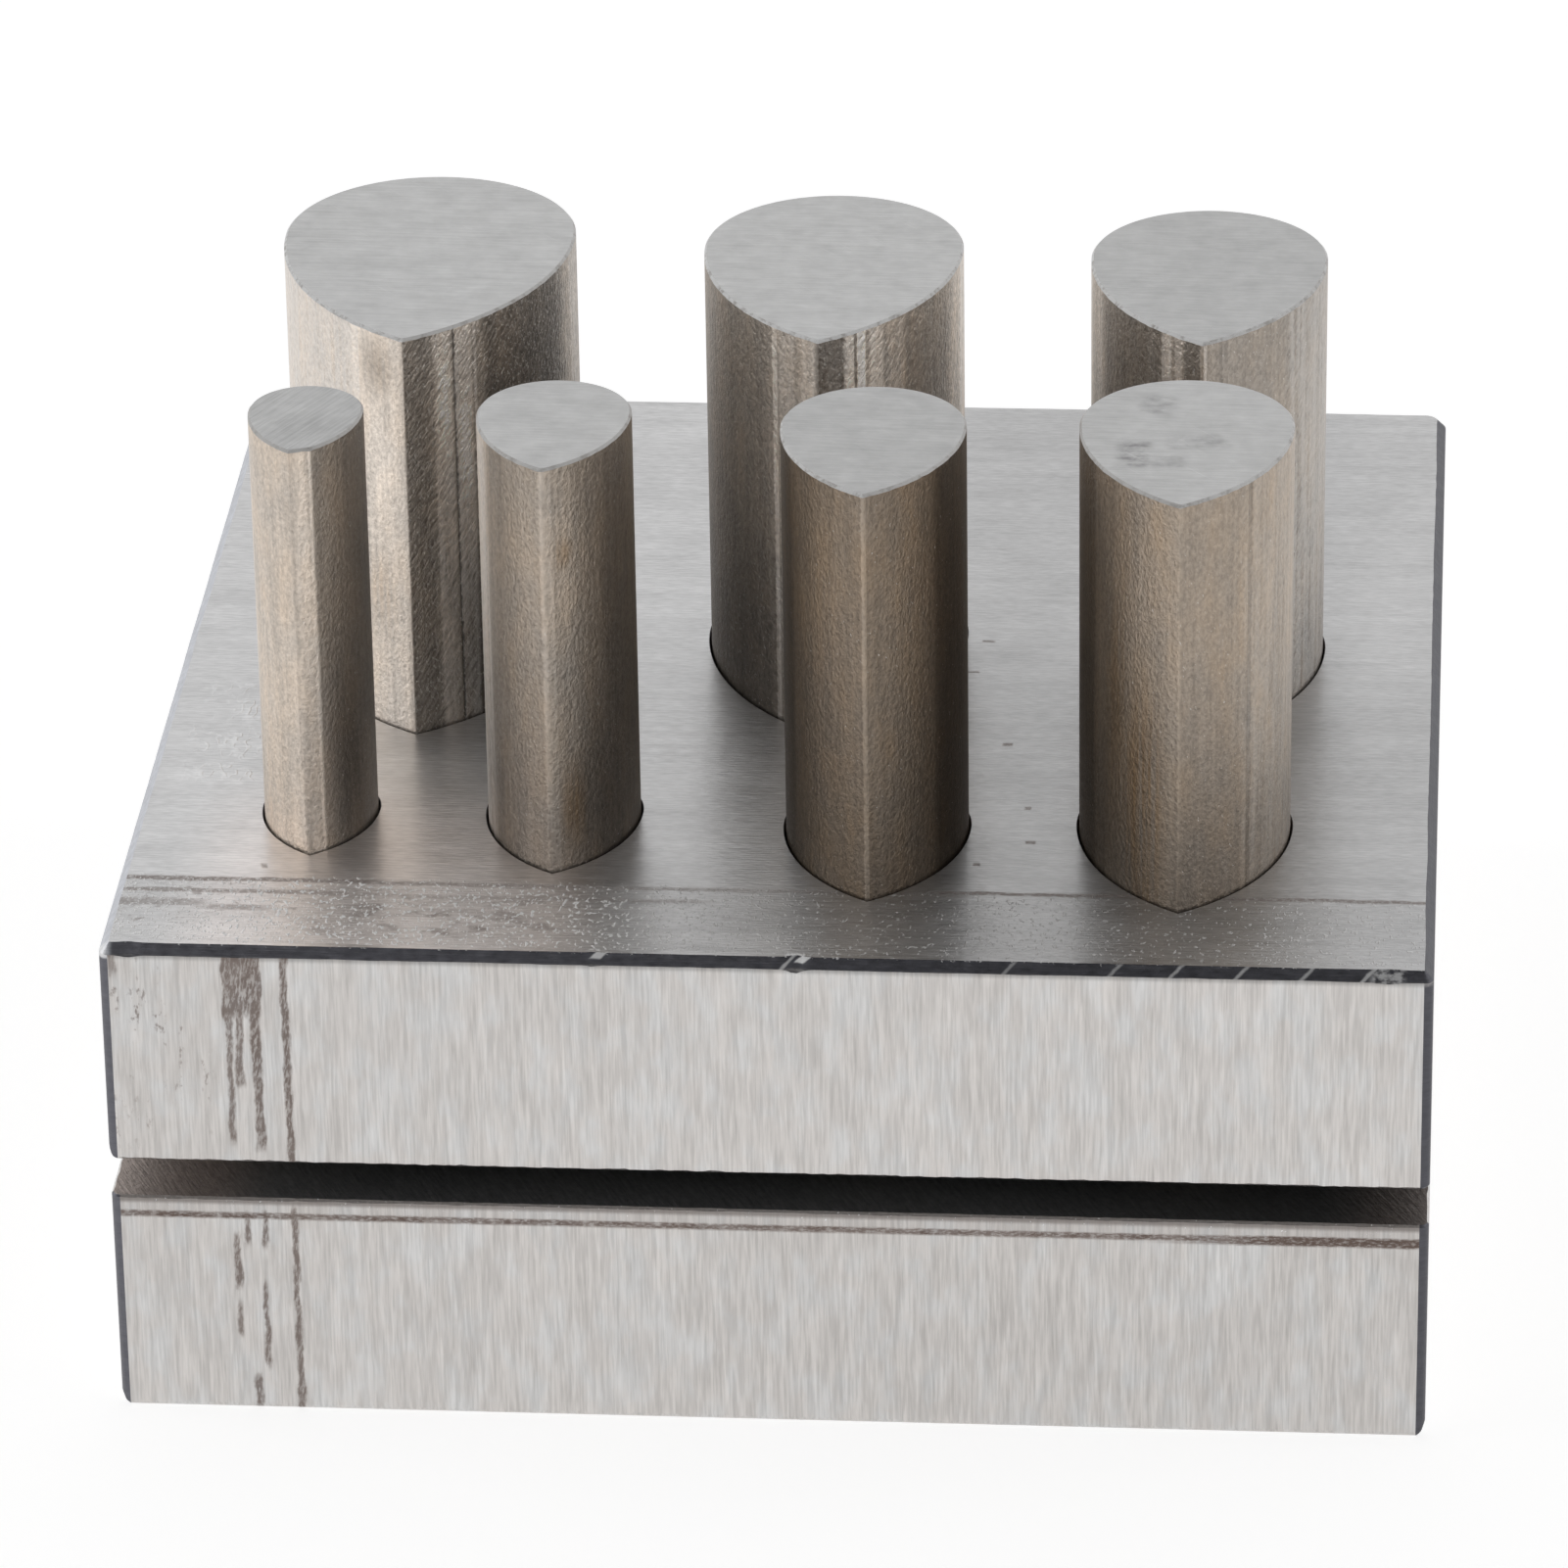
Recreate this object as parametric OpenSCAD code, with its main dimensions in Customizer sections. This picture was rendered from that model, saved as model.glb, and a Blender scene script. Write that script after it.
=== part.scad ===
// Disc cutter for pear shapes, as jewellers use it: a guide plate over a die plate, a spacer bar
// that keeps a slot open between them for sheet metal, and seven punches that stand in their holes.
// X runs from left to right, Y from the front to the back, and Z up.
// The origin is the middle of the block's underside, and the punches stand level with it.

/* [Block] */
// Width of the block, from side to side
block_w = 70; // [64:1:90]
// Depth of the block, from front to back
block_d = 70; // [66:1:90]
// Thickness of the die plate, the lower one, which has the cutting holes
die_h = 13; // [11:0.5:18]
// Height of the slot for the sheet metal
slot_h = 2.2; // [1:0.1:4]
// Thickness of the guide plate, the upper one, which keeps the punches upright
guide_h = 12.8; // [12:0.2:18]
// Depth of the spacer bar at the back of the slot
spacer_d = 14; // [12:0.5:18]
// Bevel along the guide plate's top edges
top_bevel = 0.5; // [0.2:0.1:1.2]
// Radius of the upright edges at the front
front_r = 0.4; // [0.2:0.1:2]
// Radius of the upright edges at the back
back_r = 1.2; // [0.4:0.1:3]
// Radius of the die plate's bottom edges at the sides
side_foot_r = 0.9; // [0.3:0.1:2]
// Radius of the die plate's bottom edges at the front and the back
front_foot_r = 0.4; // [0.2:0.1:2]
// Width of the deburred lower left edge of the guide plate
deburr_w = 0.5; // [0.2:0.1:1]
// Height of that deburred edge
deburr_h = 0.8; // [0.2:0.1:1.5]

/* [Punches] */
// Height of every punch
punch_h = 51.6; // [42:0.1:70]
// Bevel round the top of every punch, where it is struck
punch_bevel = 0.15; // [0.05:0.05:0.5]
// Gap between a punch and the guide plate, all round
guide_gap = 0.1; // [0.05:0.01:0.2]
// Gap between a punch and the die plate, all round
die_gap = 0.05; // [0.02:0.01:0.1]

/* [Pear sizes] */
// Width of pear 1, front row, far left
pear_1_w = 6.1; // [5:0.1:8]
// Length of pear 1, from its round back to its point
pear_1_l = 8.6; // [7:0.1:11]
// Width of pear 2, front row, second from the left
pear_2_w = 8.2; // [7:0.1:10]
// Length of pear 2
pear_2_l = 11.4; // [10:0.1:13]
// Width of pear 3, front row, third from the left
pear_3_w = 9.8; // [8.5:0.1:12]
// Length of pear 3
pear_3_l = 13.7; // [12:0.1:16]
// Width of pear 4, front row, far right
pear_4_w = 11.3; // [10:0.1:13]
// Length of pear 4
pear_4_l = 15.8; // [14:0.1:18]
// Width of pear 5, back row, right
pear_5_w = 12.9; // [11:0.1:14.5]
// Length of pear 5
pear_5_l = 18; // [16:0.1:19]
// Width of pear 6, back row, middle
pear_6_w = 14.2; // [12:0.1:16]
// Length of pear 6
pear_6_l = 19.8; // [17:0.1:21]
// Width of pear 7, back row, left
pear_7_w = 16; // [14:0.1:17]
// Length of pear 7
pear_7_l = 22.3; // [19:0.1:23]

/* [Cap screws] */
// Outside diameter of the thread
screw_d = 5; // [4:0.5:6]
// Pitch of the thread
screw_pitch = 0.8; // [0.5:0.1:1]
// Diameter of the head
head_d = 8.5; // [7.5:0.5:10]
// Height of the head
head_h = 5; // [4:0.5:6]
// Bevel round the head's outer rim
head_bevel = 0.5; // [0.2:0.1:0.8]
// Width of the hexagon socket across its flats
socket_w = 4; // [2.5:0.5:5]
// Depth of the hexagon socket
socket_deep = 2.5; // [2:0.5:3.5]
// How far the head is sunk above the block's underside
head_sunk = 0.5; // [0.2:0.1:1.5]
// How far the screw reaches into the guide plate
screw_bite = 6.3; // [5:0.1:9]
// Length of the tapped hole past the screw's end
tap_spare = 1.5; // [1:0.1:2.5]
// Gap round the head and the shank in their drilled holes
drill_gap = 0.25; // [0.1:0.05:0.5]
// Gap round the thread in its tapped hole
thread_gap = 0.03; // [0.01:0.01:0.08]

/* [Dowel pins] */
// Diameter of a dowel pin
dowel_d = 5; // [4:0.5:6]
// How far its lower end lies above the block's underside
dowel_sunk = 1.5; // [0.5:0.1:3]
// How far it reaches into the guide plate
dowel_bite = 10.3; // [6:0.1:11]
// Bevel at both of its ends
dowel_bevel = 0.5; // [0.2:0.1:0.8]
// Space left above its upper end
dowel_spare = 0.4; // [0.2:0.1:0.8]
// Gap round it in its reamed hole
dowel_gap = 0.01; // [0.01:0.01:0.03]

/* [Hidden] */
$fn = 96;

// How far a cutting shape runs past the surface that it cuts
overrun = 1;

// Each pear's width and length, the smallest first
pear_w = [pear_1_w, pear_2_w, pear_3_w, pear_4_w, pear_5_w, pear_6_w, pear_7_w];
pear_l = [pear_1_l, pear_2_l, pear_3_l, pear_4_l, pear_5_l, pear_6_l, pear_7_l];
// Where the middle of each round end stands, as shares of the block's width and depth from its centre
pear_x_shares = [-0.358, -0.17, 0.072, 0.307, 0.314, 0.02, -0.299];
pear_y_shares = [-0.264, -0.261, -0.274, -0.263, 0.048, 0.057, 0.069];

// The fasteners stand in a row along the middle of the spacer bar, at these shares of the block's width
screw_x_shares = [-0.24, 0, 0.24];
dowel_x_shares = [-0.41, 0.41];
fastener_y = block_d / 2 - spacer_d / 2;

// Height of the guide plate's underside, which is the slot's roof
guide_z = die_h + slot_h;
// Height of the seat under a screw's head, and the screw's length past it
seat_z = head_sunk + head_h;
screw_l = guide_z - seat_z + screw_bite;
// Length of a dowel
dowel_l = guide_z - dowel_sunk + dowel_bite;
// Depth of the thread's grooves, and how far up each turn a ridge begins, reaches its crest and
// leaves it, all as shares of the pitch
thread_deep_share = 0.6;
ridge_foot_share = 0.05;
crest_low_share = 0.45;
crest_high_share = 0.6;

// Radius of a pear's sides: arcs level with the round end's middle, which meet it at the widest points
function side_r(w, l) = (pow(w / 2, 2) + pow(l - w / 2, 2)) / w;

// A pear of height h, its round end about the Z axis and its point towards -Y.
// low and high widen it all round, at its lower and at its upper end.
module pear(w, l, h, low, high) {
    // Behind the widest points, half a round
    intersection() {
        cylinder(h = h, r1 = w / 2 + low, r2 = w / 2 + high);
        translate([-w, 0, 0])
            cube([2 * w, w, h]);
    }
    // In front of them, two sides that cross at the point
    intersection() {
        translate([w / 2 - side_r(w, l), 0, 0])
            cylinder(h = h, r1 = side_r(w, l) + low, r2 = side_r(w, l) + high);
        translate([side_r(w, l) - w / 2, 0, 0])
            cylinder(h = h, r1 = side_r(w, l) + low, r2 = side_r(w, l) + high);
        translate([-w, -2 * l, 0])
            cube([2 * w, 2 * l, h]);
    }
}

// Moves its child to the place of pear n
module at_pear(n) {
    translate([block_w * pear_x_shares[n], block_d * pear_y_shares[n], 0])
        children();
}

// The seven holes through a plate that lies from z to z + h, wider than the punches by gap
module pear_holes(z, h, gap) {
    for (n = [0 : len(pear_w) - 1])
        at_pear(n)
            translate([0, 0, z - overrun])
                pear(pear_w[n], pear_l[n], h + 2 * overrun, gap, gap);
}

// Moves its child to each place in the fastener row
module at_fasteners(shares) {
    for (share = shares)
        translate([block_w * share, fastener_y, 0])
            children();
}

// A round hole from z to z + h, and past them where it breaks out
module drill(z, h, d, past_low, past_high) {
    translate([0, 0, z - past_low])
        cylinder(h = h + past_low + past_high, d = d);
}

// What is cut from the lower right corner of an outline that ends at x, to round it by r
module corner_cut(x, r) {
    difference() {
        translate([x - r, -overrun])
            square([r + overrun, r + overrun]);
        translate([x - r, r])
            circle(r = r);
    }
}

// A rectangle above the X axis, w wide and h high, with both lower corners rounded by r
module footed_sheet(w, h, r) {
    difference() {
        translate([-w / 2, 0])
            square([w, h]);
        for (side = [0, 1])
            mirror([side, 0])
                corner_cut(w / 2, r);
    }
}

// The same with its upper corners bevelled by b, and its lower left corner cut by cut_w and cut_h
module bevelled_sheet(w, h, b, cut_w, cut_h) {
    polygon([
        [cut_w - w / 2, 0],
        [w / 2, 0],
        [w / 2, h - b],
        [w / 2 - b, h],
        [b - w / 2, h],
        [-w / 2, h - b],
        [-w / 2, cut_h]
    ]);
}

// The block seen from above, h high: its upright edges are rounded
module plan(h) {
    linear_extrude(h)
        intersection() {
            translate([0, -block_d / 2])
                footed_sheet(block_w, block_d, front_r);
            rotate(180)
                translate([0, -block_d / 2])
                    footed_sheet(block_w, block_d, back_r);
        }
}

// Stretches an outline, drawn as it is seen from the front, from the front to the back
module front_to_back() {
    translate([0, block_d / 2 + overrun, 0])
        rotate([90, 0, 0])
            linear_extrude(block_d + 2 * overrun)
                children();
}

// Stretches an outline, drawn as it is seen from the right, from side to side
module side_to_side() {
    translate([-block_w / 2 - overrun, 0, 0])
        rotate([90, 0, 90])
            linear_extrude(block_w + 2 * overrun)
                children();
}

module die_plate() {
    color("#b9b6b2")
        difference() {
            intersection() {
                plan(die_h);
                front_to_back()
                    footed_sheet(block_w, die_h, side_foot_r);
                side_to_side()
                    footed_sheet(block_d, die_h, front_foot_r);
            }
            pear_holes(0, die_h, die_gap);
            at_fasteners(screw_x_shares) {
                drill(0, seat_z, head_d + 2 * drill_gap, overrun, 0);
                drill(seat_z, die_h - seat_z, screw_d + 2 * drill_gap, overrun, overrun);
            }
            at_fasteners(dowel_x_shares)
                drill(0, die_h, dowel_d + 2 * dowel_gap, overrun, overrun);
        }
}

module spacer_bar() {
    color("#8d857d")
        difference() {
            translate([0, 0, die_h])
                intersection() {
                    plan(slot_h);
                    translate([-block_w / 2 - overrun, block_d / 2 - spacer_d, 0])
                        cube([block_w + 2 * overrun, spacer_d + overrun, slot_h]);
                }
            at_fasteners(screw_x_shares)
                drill(die_h, slot_h, screw_d + 2 * drill_gap, overrun, overrun);
            at_fasteners(dowel_x_shares)
                drill(die_h, slot_h, dowel_d + 2 * dowel_gap, overrun, overrun);
        }
}

module guide_plate() {
    color("#c2c1bf")
        difference() {
            translate([0, 0, guide_z])
                intersection() {
                    plan(guide_h);
                    front_to_back()
                        bevelled_sheet(block_w, guide_h, top_bevel, deburr_w, deburr_h);
                    side_to_side()
                        bevelled_sheet(block_d, guide_h, top_bevel, 0, 0);
                }
            pear_holes(guide_z, guide_h, guide_gap);
            at_fasteners(screw_x_shares)
                drill(guide_z, screw_bite + tap_spare, screw_d + 2 * thread_gap, overrun, 0);
            at_fasteners(dowel_x_shares)
                drill(guide_z, dowel_bite + dowel_spare, dowel_d + 2 * dowel_gap, overrun, 0);
        }
}

// The screw's threaded length, drawn as rings one pitch apart that fill it from its upper end down
module thread() {
    crest_r = screw_d / 2;
    root_r = crest_r - thread_deep_share * screw_pitch;
    ridge = [[root_r, ridge_foot_share], [crest_r, crest_low_share], [crest_r, crest_high_share]];
    turns = floor(screw_l / screw_pitch);
    start = screw_l - turns * screw_pitch;
    rotate_extrude()
        polygon([
            [0, 0],
            [root_r, 0],
            for (turn = [0 : turns - 1])
                for (point = ridge)
                    [point[0], start + (turn + point[1]) * screw_pitch],
            [root_r, screw_l],
            [0, screw_l]
        ]);
}

// A socket cap screw, head down, at place n of the row
module cap_screw(n) {
    color("#4a4846")
        translate([block_w * screw_x_shares[n], fastener_y, head_sunk])
            difference() {
                union() {
                    cylinder(h = head_bevel, d1 = head_d - 2 * head_bevel, d2 = head_d);
                    translate([0, 0, head_bevel])
                        cylinder(h = head_h - head_bevel, d = head_d);
                    translate([0, 0, head_h])
                        thread();
                }
                translate([0, 0, -overrun])
                    cylinder(h = socket_deep + overrun, d = socket_w / cos(30), $fn = 6);
            }
}

// A dowel pin at place n of the row
module dowel(n) {
    color("#d0d0ce")
        translate([block_w * dowel_x_shares[n], fastener_y, dowel_sunk])
            rotate_extrude()
                polygon([
                    [0, 0],
                    [dowel_d / 2 - dowel_bevel, 0],
                    [dowel_d / 2, dowel_bevel],
                    [dowel_d / 2, dowel_l - dowel_bevel],
                    [dowel_d / 2 - dowel_bevel, dowel_l],
                    [0, dowel_l]
                ]);
}

// Punch n: a straight pear from the cutting end up, with a bevel round the end that is struck
module punch(n) {
    color("#9c9186")
        at_pear(n) {
            pear(pear_w[n], pear_l[n], punch_h - punch_bevel, 0, 0);
            translate([0, 0, punch_h - punch_bevel])
                pear(pear_w[n], pear_l[n], punch_bevel, 0, -punch_bevel);
        }
}

die_plate();
spacer_bar();
guide_plate();
cap_screw(0);  // screw_left
cap_screw(1);  // screw_middle
cap_screw(2);  // screw_right
dowel(0);  // dowel_left
dowel(1);  // dowel_right
punch(0);  // punch_1
punch(1);  // punch_2
punch(2);  // punch_3
punch(3);  // punch_4
punch(4);  // punch_5
punch(5);  // punch_6
punch(6);  // punch_7
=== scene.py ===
import math

import bpy
from bpy.props import FloatProperty, FloatVectorProperty, IntProperty, PointerProperty
from bpy.types import Operator, Panel, PropertyGroup
from mathutils import Matrix, Vector, noise
from mathutils.geometry import tessellate_polygon


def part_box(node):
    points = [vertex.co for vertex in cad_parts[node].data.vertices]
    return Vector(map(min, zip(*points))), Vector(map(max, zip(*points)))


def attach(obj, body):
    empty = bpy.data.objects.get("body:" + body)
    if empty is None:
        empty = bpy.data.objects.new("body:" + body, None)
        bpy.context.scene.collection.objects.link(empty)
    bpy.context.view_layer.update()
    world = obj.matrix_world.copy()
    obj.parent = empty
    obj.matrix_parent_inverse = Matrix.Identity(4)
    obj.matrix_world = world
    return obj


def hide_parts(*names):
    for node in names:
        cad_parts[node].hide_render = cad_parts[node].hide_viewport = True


bl_info = {
    "name": "Disc Cutter Looks",
    "version": (1, 0, 0),
    "blender": (4, 5, 0),
    "location": "3D View > Sidebar > Disc Cutter",
    "description": "Finished steel plates, pear punches and fasteners for a jeweller's disc cutter",
    "category": "Object",
}

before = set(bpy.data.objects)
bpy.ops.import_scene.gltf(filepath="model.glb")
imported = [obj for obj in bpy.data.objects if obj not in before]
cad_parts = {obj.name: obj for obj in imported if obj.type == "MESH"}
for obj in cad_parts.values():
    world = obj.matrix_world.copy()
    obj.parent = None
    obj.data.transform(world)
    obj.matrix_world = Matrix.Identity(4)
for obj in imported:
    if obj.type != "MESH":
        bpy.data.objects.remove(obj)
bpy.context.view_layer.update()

MM = 0.001
PUNCHES = ["punch_1", "punch_2", "punch_3", "punch_4", "punch_5", "punch_6", "punch_7"]
SCREWS = ["screw_left", "screw_middle", "screw_right"]
DOWELS = ["dowel_left", "dowel_right"]

# How light a punch's steel is left and right of its point, partly its own tone and partly painted light and
# shade, how much painted shade darkens it at its foot, how light it is on its ends, how brown it is, and how
# coarse its grain is left and right of the point
STEEL_OF_PUNCH = {
    "punch_1": (1.34, 0.8, 1.03, 0.91, 0.25, 0.7, 0.8), "punch_2": (0.98, 0.92, 0.7, 1.0, 0.35, 0.8, 1.0),
    "punch_3": (0.65, 0.62, 0.73, 0.93, 0.85, 0.7, 0.8), "punch_4": (0.99, 0.84, 0.62, 1.0, 0.6, 0.6, 0.8),
    "punch_5": (1.27, 0.76, 0.8, 0.94, 0.2, 1.8, 1.3), "punch_6": (1.34, 1.46, 0.46, 1.03, 0.15, 1.6, 2.4),
    "punch_7": (1.62, 1.12, 0.95, 1.04, 0.1, 0.9, 3.0),
}

# How bright the rim is left and right of the point, partly a burr and partly a painted highlight, and the
# radius of the edge at the point, in millimetres
RIM_OF_PUNCH = {
    "punch_1": (0.35, 0.35, 0.3), "punch_2": (0.45, 0.4, 0.3), "punch_3": (0.85, 0.45, 0.12),
    "punch_4": (0.4, 0.65, 0.15), "punch_5": (1.0, 0.7, 0.15), "punch_6": (1.0, 0.8, 0.15),
    "punch_7": (1.0, 0.5, 0.1),
}

# Streaks down a punch: from and to in millimetres right of its point, how light, and how smooth. The
# lightness is partly the steel's own streaks and partly painted highlights and shade.
STREAKS = {
    "punch_1": [(1.2, 3.3, 0.85, 0.0), (-3.3, -2.9, 1.1, 0.3), (0.7, 0.82, 1.2, 0.2)],
    "punch_2": [(-4.2, -3.4, 1.3, 0.5), (-0.1, 0.4, 1.2, 0.1), (1.8, 4.2, 0.85, 0.0)],
    "punch_3": [(-5.2, -4.2, 0.65, 0.0), (-0.1, 0.1, 1.4, 0.1), (3.7, 5.2, 0.6, 0.0)],
    "punch_4": [
        (-6.0, -4.8, 0.6, 0.0), (3.45, 3.6, 0.75, 0.0), (3.6, 6.0, 1.1, 0.15), (-0.08, 0.08, 1.15, 0.0),
    ],
    "punch_5": [
        (-6.5, -6.3, 1.1, 0.3), (-5.9, -5.7, 1.1, 0.3), (-5.2, -2.4, 0.6, 0.1), (-2.2, -1.8, 1.7, 0.6),
        (-1.5, -1.2, 1.4, 0.3), (-0.9, -0.2, 0.6, 0.1), (-0.12, 0.16, 1.5, 0.4), (0.88, 1.02, 0.8, 0.0),
        (4.8, 6.7, 1.1, 0.4),
    ],
    "punch_6": [
        (-7.4, -3.1, 0.75, 0.0), (-2.62, -2.42, 1.7, 0.6), (-2.2, -1.5, 1.2, 0.2), (-0.9, -0.2, 1.3, 0.2),
        (0.0, 1.2, 0.5, 0.1), (1.35, 1.75, 1.6, 0.6), (1.85, 1.95, 0.6, 0.0), (2.05, 2.35, 2.2, 0.9),
        (2.7, 3.2, 1.4, 0.4), (4.6, 6.3, 0.62, 0.0), (7.0, 7.1, 1.2, 0.5),
    ],
    "punch_7": [
        (-8.0, -3.2, 1.0, 0.55), (-3.0, -2.7, 1.15, 0.6), (0.0, 1.1, 0.78, 0.0), (1.6, 2.3, 1.7, 0.4),
        (2.5, 2.56, 0.35, 0.0), (2.65, 3.3, 1.8, 0.7), (3.5, 3.6, 1.5, 0.6), (4.3, 7.2, 0.42, 0.0),
        (7.85, 8.0, 1.1, 0.3),
    ],
}

# Fine grooves down a punch: right of its point, half as wide and how deep, in millimetres
GROOVES = {
    "punch_1": [(0.84, 0.03, 0.012), (-0.3, 0.03, 0.0)], "punch_4": [(3.52, 0.04, 0.012)],
    "punch_5": [(0.95, 0.04, 0.01)], "punch_6": [(1.9, 0.04, 0.015), (2.58, 0.04, 0.015)],
    "punch_7": [(2.53, 0.045, 0.035)],
}

# A point filed off at the top: from and to in millimetres right of the point, and the height where it ends
NOSES = {"punch_1": (-0.3, 0.84, 33.0)}

# Patches on a punch: right of its point, height, half as wide, half as tall, how light, how rusty. The
# lightness is partly the steel's own tone and partly painted light and shade.
PATCHES = {
    "punch_1": [
        (0.3, 46.0, 0.55, 14.0, 1.3, 0.0), (1.9, 46.5, 1.8, 8.0, 1.2, 0.1), (2.0, 33.0, 1.2, 8.0, 0.55, 0.0),
    ],
    "punch_2": [
        (-3.6, 46.0, 0.9, 12.0, 1.3, 0.0), (1.2, 31.5, 1.0, 4.0, 0.95, 0.9), (1.0, 46.5, 0.8, 1.5, 0.9, 0.7),
        (-1.6, 45.0, 1.6, 6.0, 1.1, 0.15), (1.5, 46.0, 2.0, 8.0, 1.2, 0.15), (2.2, 31.0, 1.8, 9.0, 0.75, 0.0),
    ],
    "punch_3": [(-2.4, 44.0, 1.6, 8.0, 1.2, 0.35), (2.5, 45.0, 2.0, 8.0, 1.1, 0.2)],
    "punch_4": [(-2.0, 33.5, 1.7, 11.0, 1.0, 1.25), (-3.4, 38.0, 1.0, 11.0, 0.95, 0.8)],
    "punch_5": [(-0.5, 48.0, 1.0, 4.0, 1.0, 0.4)],
    "punch_6": [(4.5, 48.0, 1.5, 5.0, 1.1, 0.25)],
    "punch_7": [
        (-1.6, 49.5, 1.5, 2.5, 0.72, 0.3), (-1.4, 43.5, 1.4, 3.5, 1.15, 0.0),
        (-1.8, 36.0, 1.4, 4.0, 0.95, 0.35), (2.0, 47.5, 0.5, 5.0, 1.6, 0.0), (3.0, 44.5, 0.5, 5.0, 1.7, 0.0),
        (3.8, 30.0, 3.6, 13.0, 0.2, 0.1), (5.0, 50.0, 1.5, 4.0, 1.5, 0.3),
    ],
}

# Brown low spots down the front: middle across, half as wide, from height, to height, how dark
FRONT_SPOTS = [
    (-27.95, 0.45, 24.2, 27.8, 0.9), (-26.95, 0.4, 24.6, 27.8, 0.95), (-28.25, 0.1, 16.8, 24.6, 0.85),
    (-27.7, 0.13, 20.1, 24.4, 0.85), (-26.8, 0.16, 16.3, 24.8, 0.95), (-25.2, 0.11, 15.2, 27.6, 0.95),
    (-25.2, 0.08, 0.3, 12.1, 0.9), (-27.7, 0.06, 10.6, 11.9, 0.9), (-28.3, 0.1, 7.9, 10.4, 0.9),
    (-28.3, 0.05, 4.9, 6.2, 0.8), (-26.8, 0.05, 10.5, 11.9, 0.9), (-26.9, 0.05, 3.0, 7.5, 0.9),
    (-27.5, 0.1, 0.3, 1.7, 0.9), (-34.3, 0.15, 26.6, 27.6, 0.6),
]

# Rough lines along the top: how far back, half as wide, from left, to right, how dark
TOP_LINES = [
    (-27.1, 0.12, -34.6, -22.0, 0.8), (-27.2, 0.1, -22.0, -9.5, 0.55), (-27.2, 0.08, -9.5, 9.0, 0.45),
    (-26.95, 0.08, 9.0, 34.4, 0.7), (-28.45, 0.12, -34.6, -23.5, 0.65), (-28.6, 0.1, -23.5, -4.5, 0.4),
    (-29.8, 0.3, -34.6, -31.0, 0.5), (-30.3, 0.2, -29.0, -27.6, 0.5), (-30.2, 0.15, -17.8, -15.8, 0.35),
]

# Small dark marks on the top: middle across and back, half as wide and deep, in millimetres
TOP_MARKS = [
    (-27.3, -25.5, 0.08, 0.25), (9.8, 3.3, 0.3, 0.04), (6.3, 17.2, 0.4, 0.04), (11.5, -9.4, 0.2, 0.1),
    (10.6, -23.6, 0.1, 0.1), (13.3, -21.0, 0.2, 0.1), (13.0, -17.0, 0.1, 0.1), (8.8, -0.6, 0.6, 0.03),
]

# Smudges on the end of the largest front punch: middle across and back, half as wide and deep, how dark
SMUDGES = [
    (19.9, -16.1, 0.5, 0.7, 0.6), (22.2, -20.6, 1.2, 0.35, 0.6), (18.8, -22.2, 0.4, 1.1, 1.0),
    (20.6, -23.1, 0.5, 0.3, 0.5),
]

# Where the hand-made front bevel is nicked: across, half as wide and how much deeper, in millimetres
NICKS = [(-8.9, 0.2, 0.08), (1.7, 0.4, 0.22), (-33.4, 0.5, 0.12), (32.6, 0.6, 0.1)]

# Scratches that run up the front bevel: across, half as wide, how bright, and from which height
BEVEL_SCRATCHES = [
    (-8.8, 0.2, 0.9, 27.7), (1.3, 0.04, 0.6, 27.4), (1.95, 0.16, 1.2, 27.68), (12.9, 0.03, 0.35, 27.4),
    (18.4, 0.03, 0.4, 27.4), (21.6, 0.03, 0.5, 27.4), (25.0, 0.03, 0.5, 27.4), (28.4, 0.03, 0.5, 27.4),
    (31.6, 0.05, 0.6, 27.4),
]

# Edges that turn more than this many degrees stay sharp
SHARP = 25

# The step between points along the plates' edges, and the steps round a small corner
GUIDE_STEP, DIE_STEP = 0.3 * MM, 0.5 * MM
CORNER_STEPS = 6

# The stage: what the lamps aim at, where the right one stands and how wide they are, in metres,
# half the floor's width, and the dark cloth's reach up and round in degrees and its facets
AIM = (0.0, 0.0, 0.02)
LAMP_PLACE = (0.6, -0.05, 0.25)
LAMP_WIDTH = 0.5
FLOOR_HALF = 2.0
CLOTH_RISE = (42, 84)
CLOTH_TURN = (-175, -5)
CLOTH_ROWS, CLOTH_COLUMNS = 8, 24


def length(name, description, default):
    """A length in metres that the sidebar shows."""
    return FloatProperty(name=name, description=description, default=default, unit="LENGTH", precision=6)


def figure(name, description, default):
    """A plain number that the sidebar shows."""
    return FloatProperty(name=name, description=description, default=default, precision=3)


def swatch(name, description, default):
    """A linear colour that the sidebar shows."""
    return FloatVectorProperty(
        name=name, description=description, default=default, subtype="COLOR", size=3, min=0.0, max=1.0
    )


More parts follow.
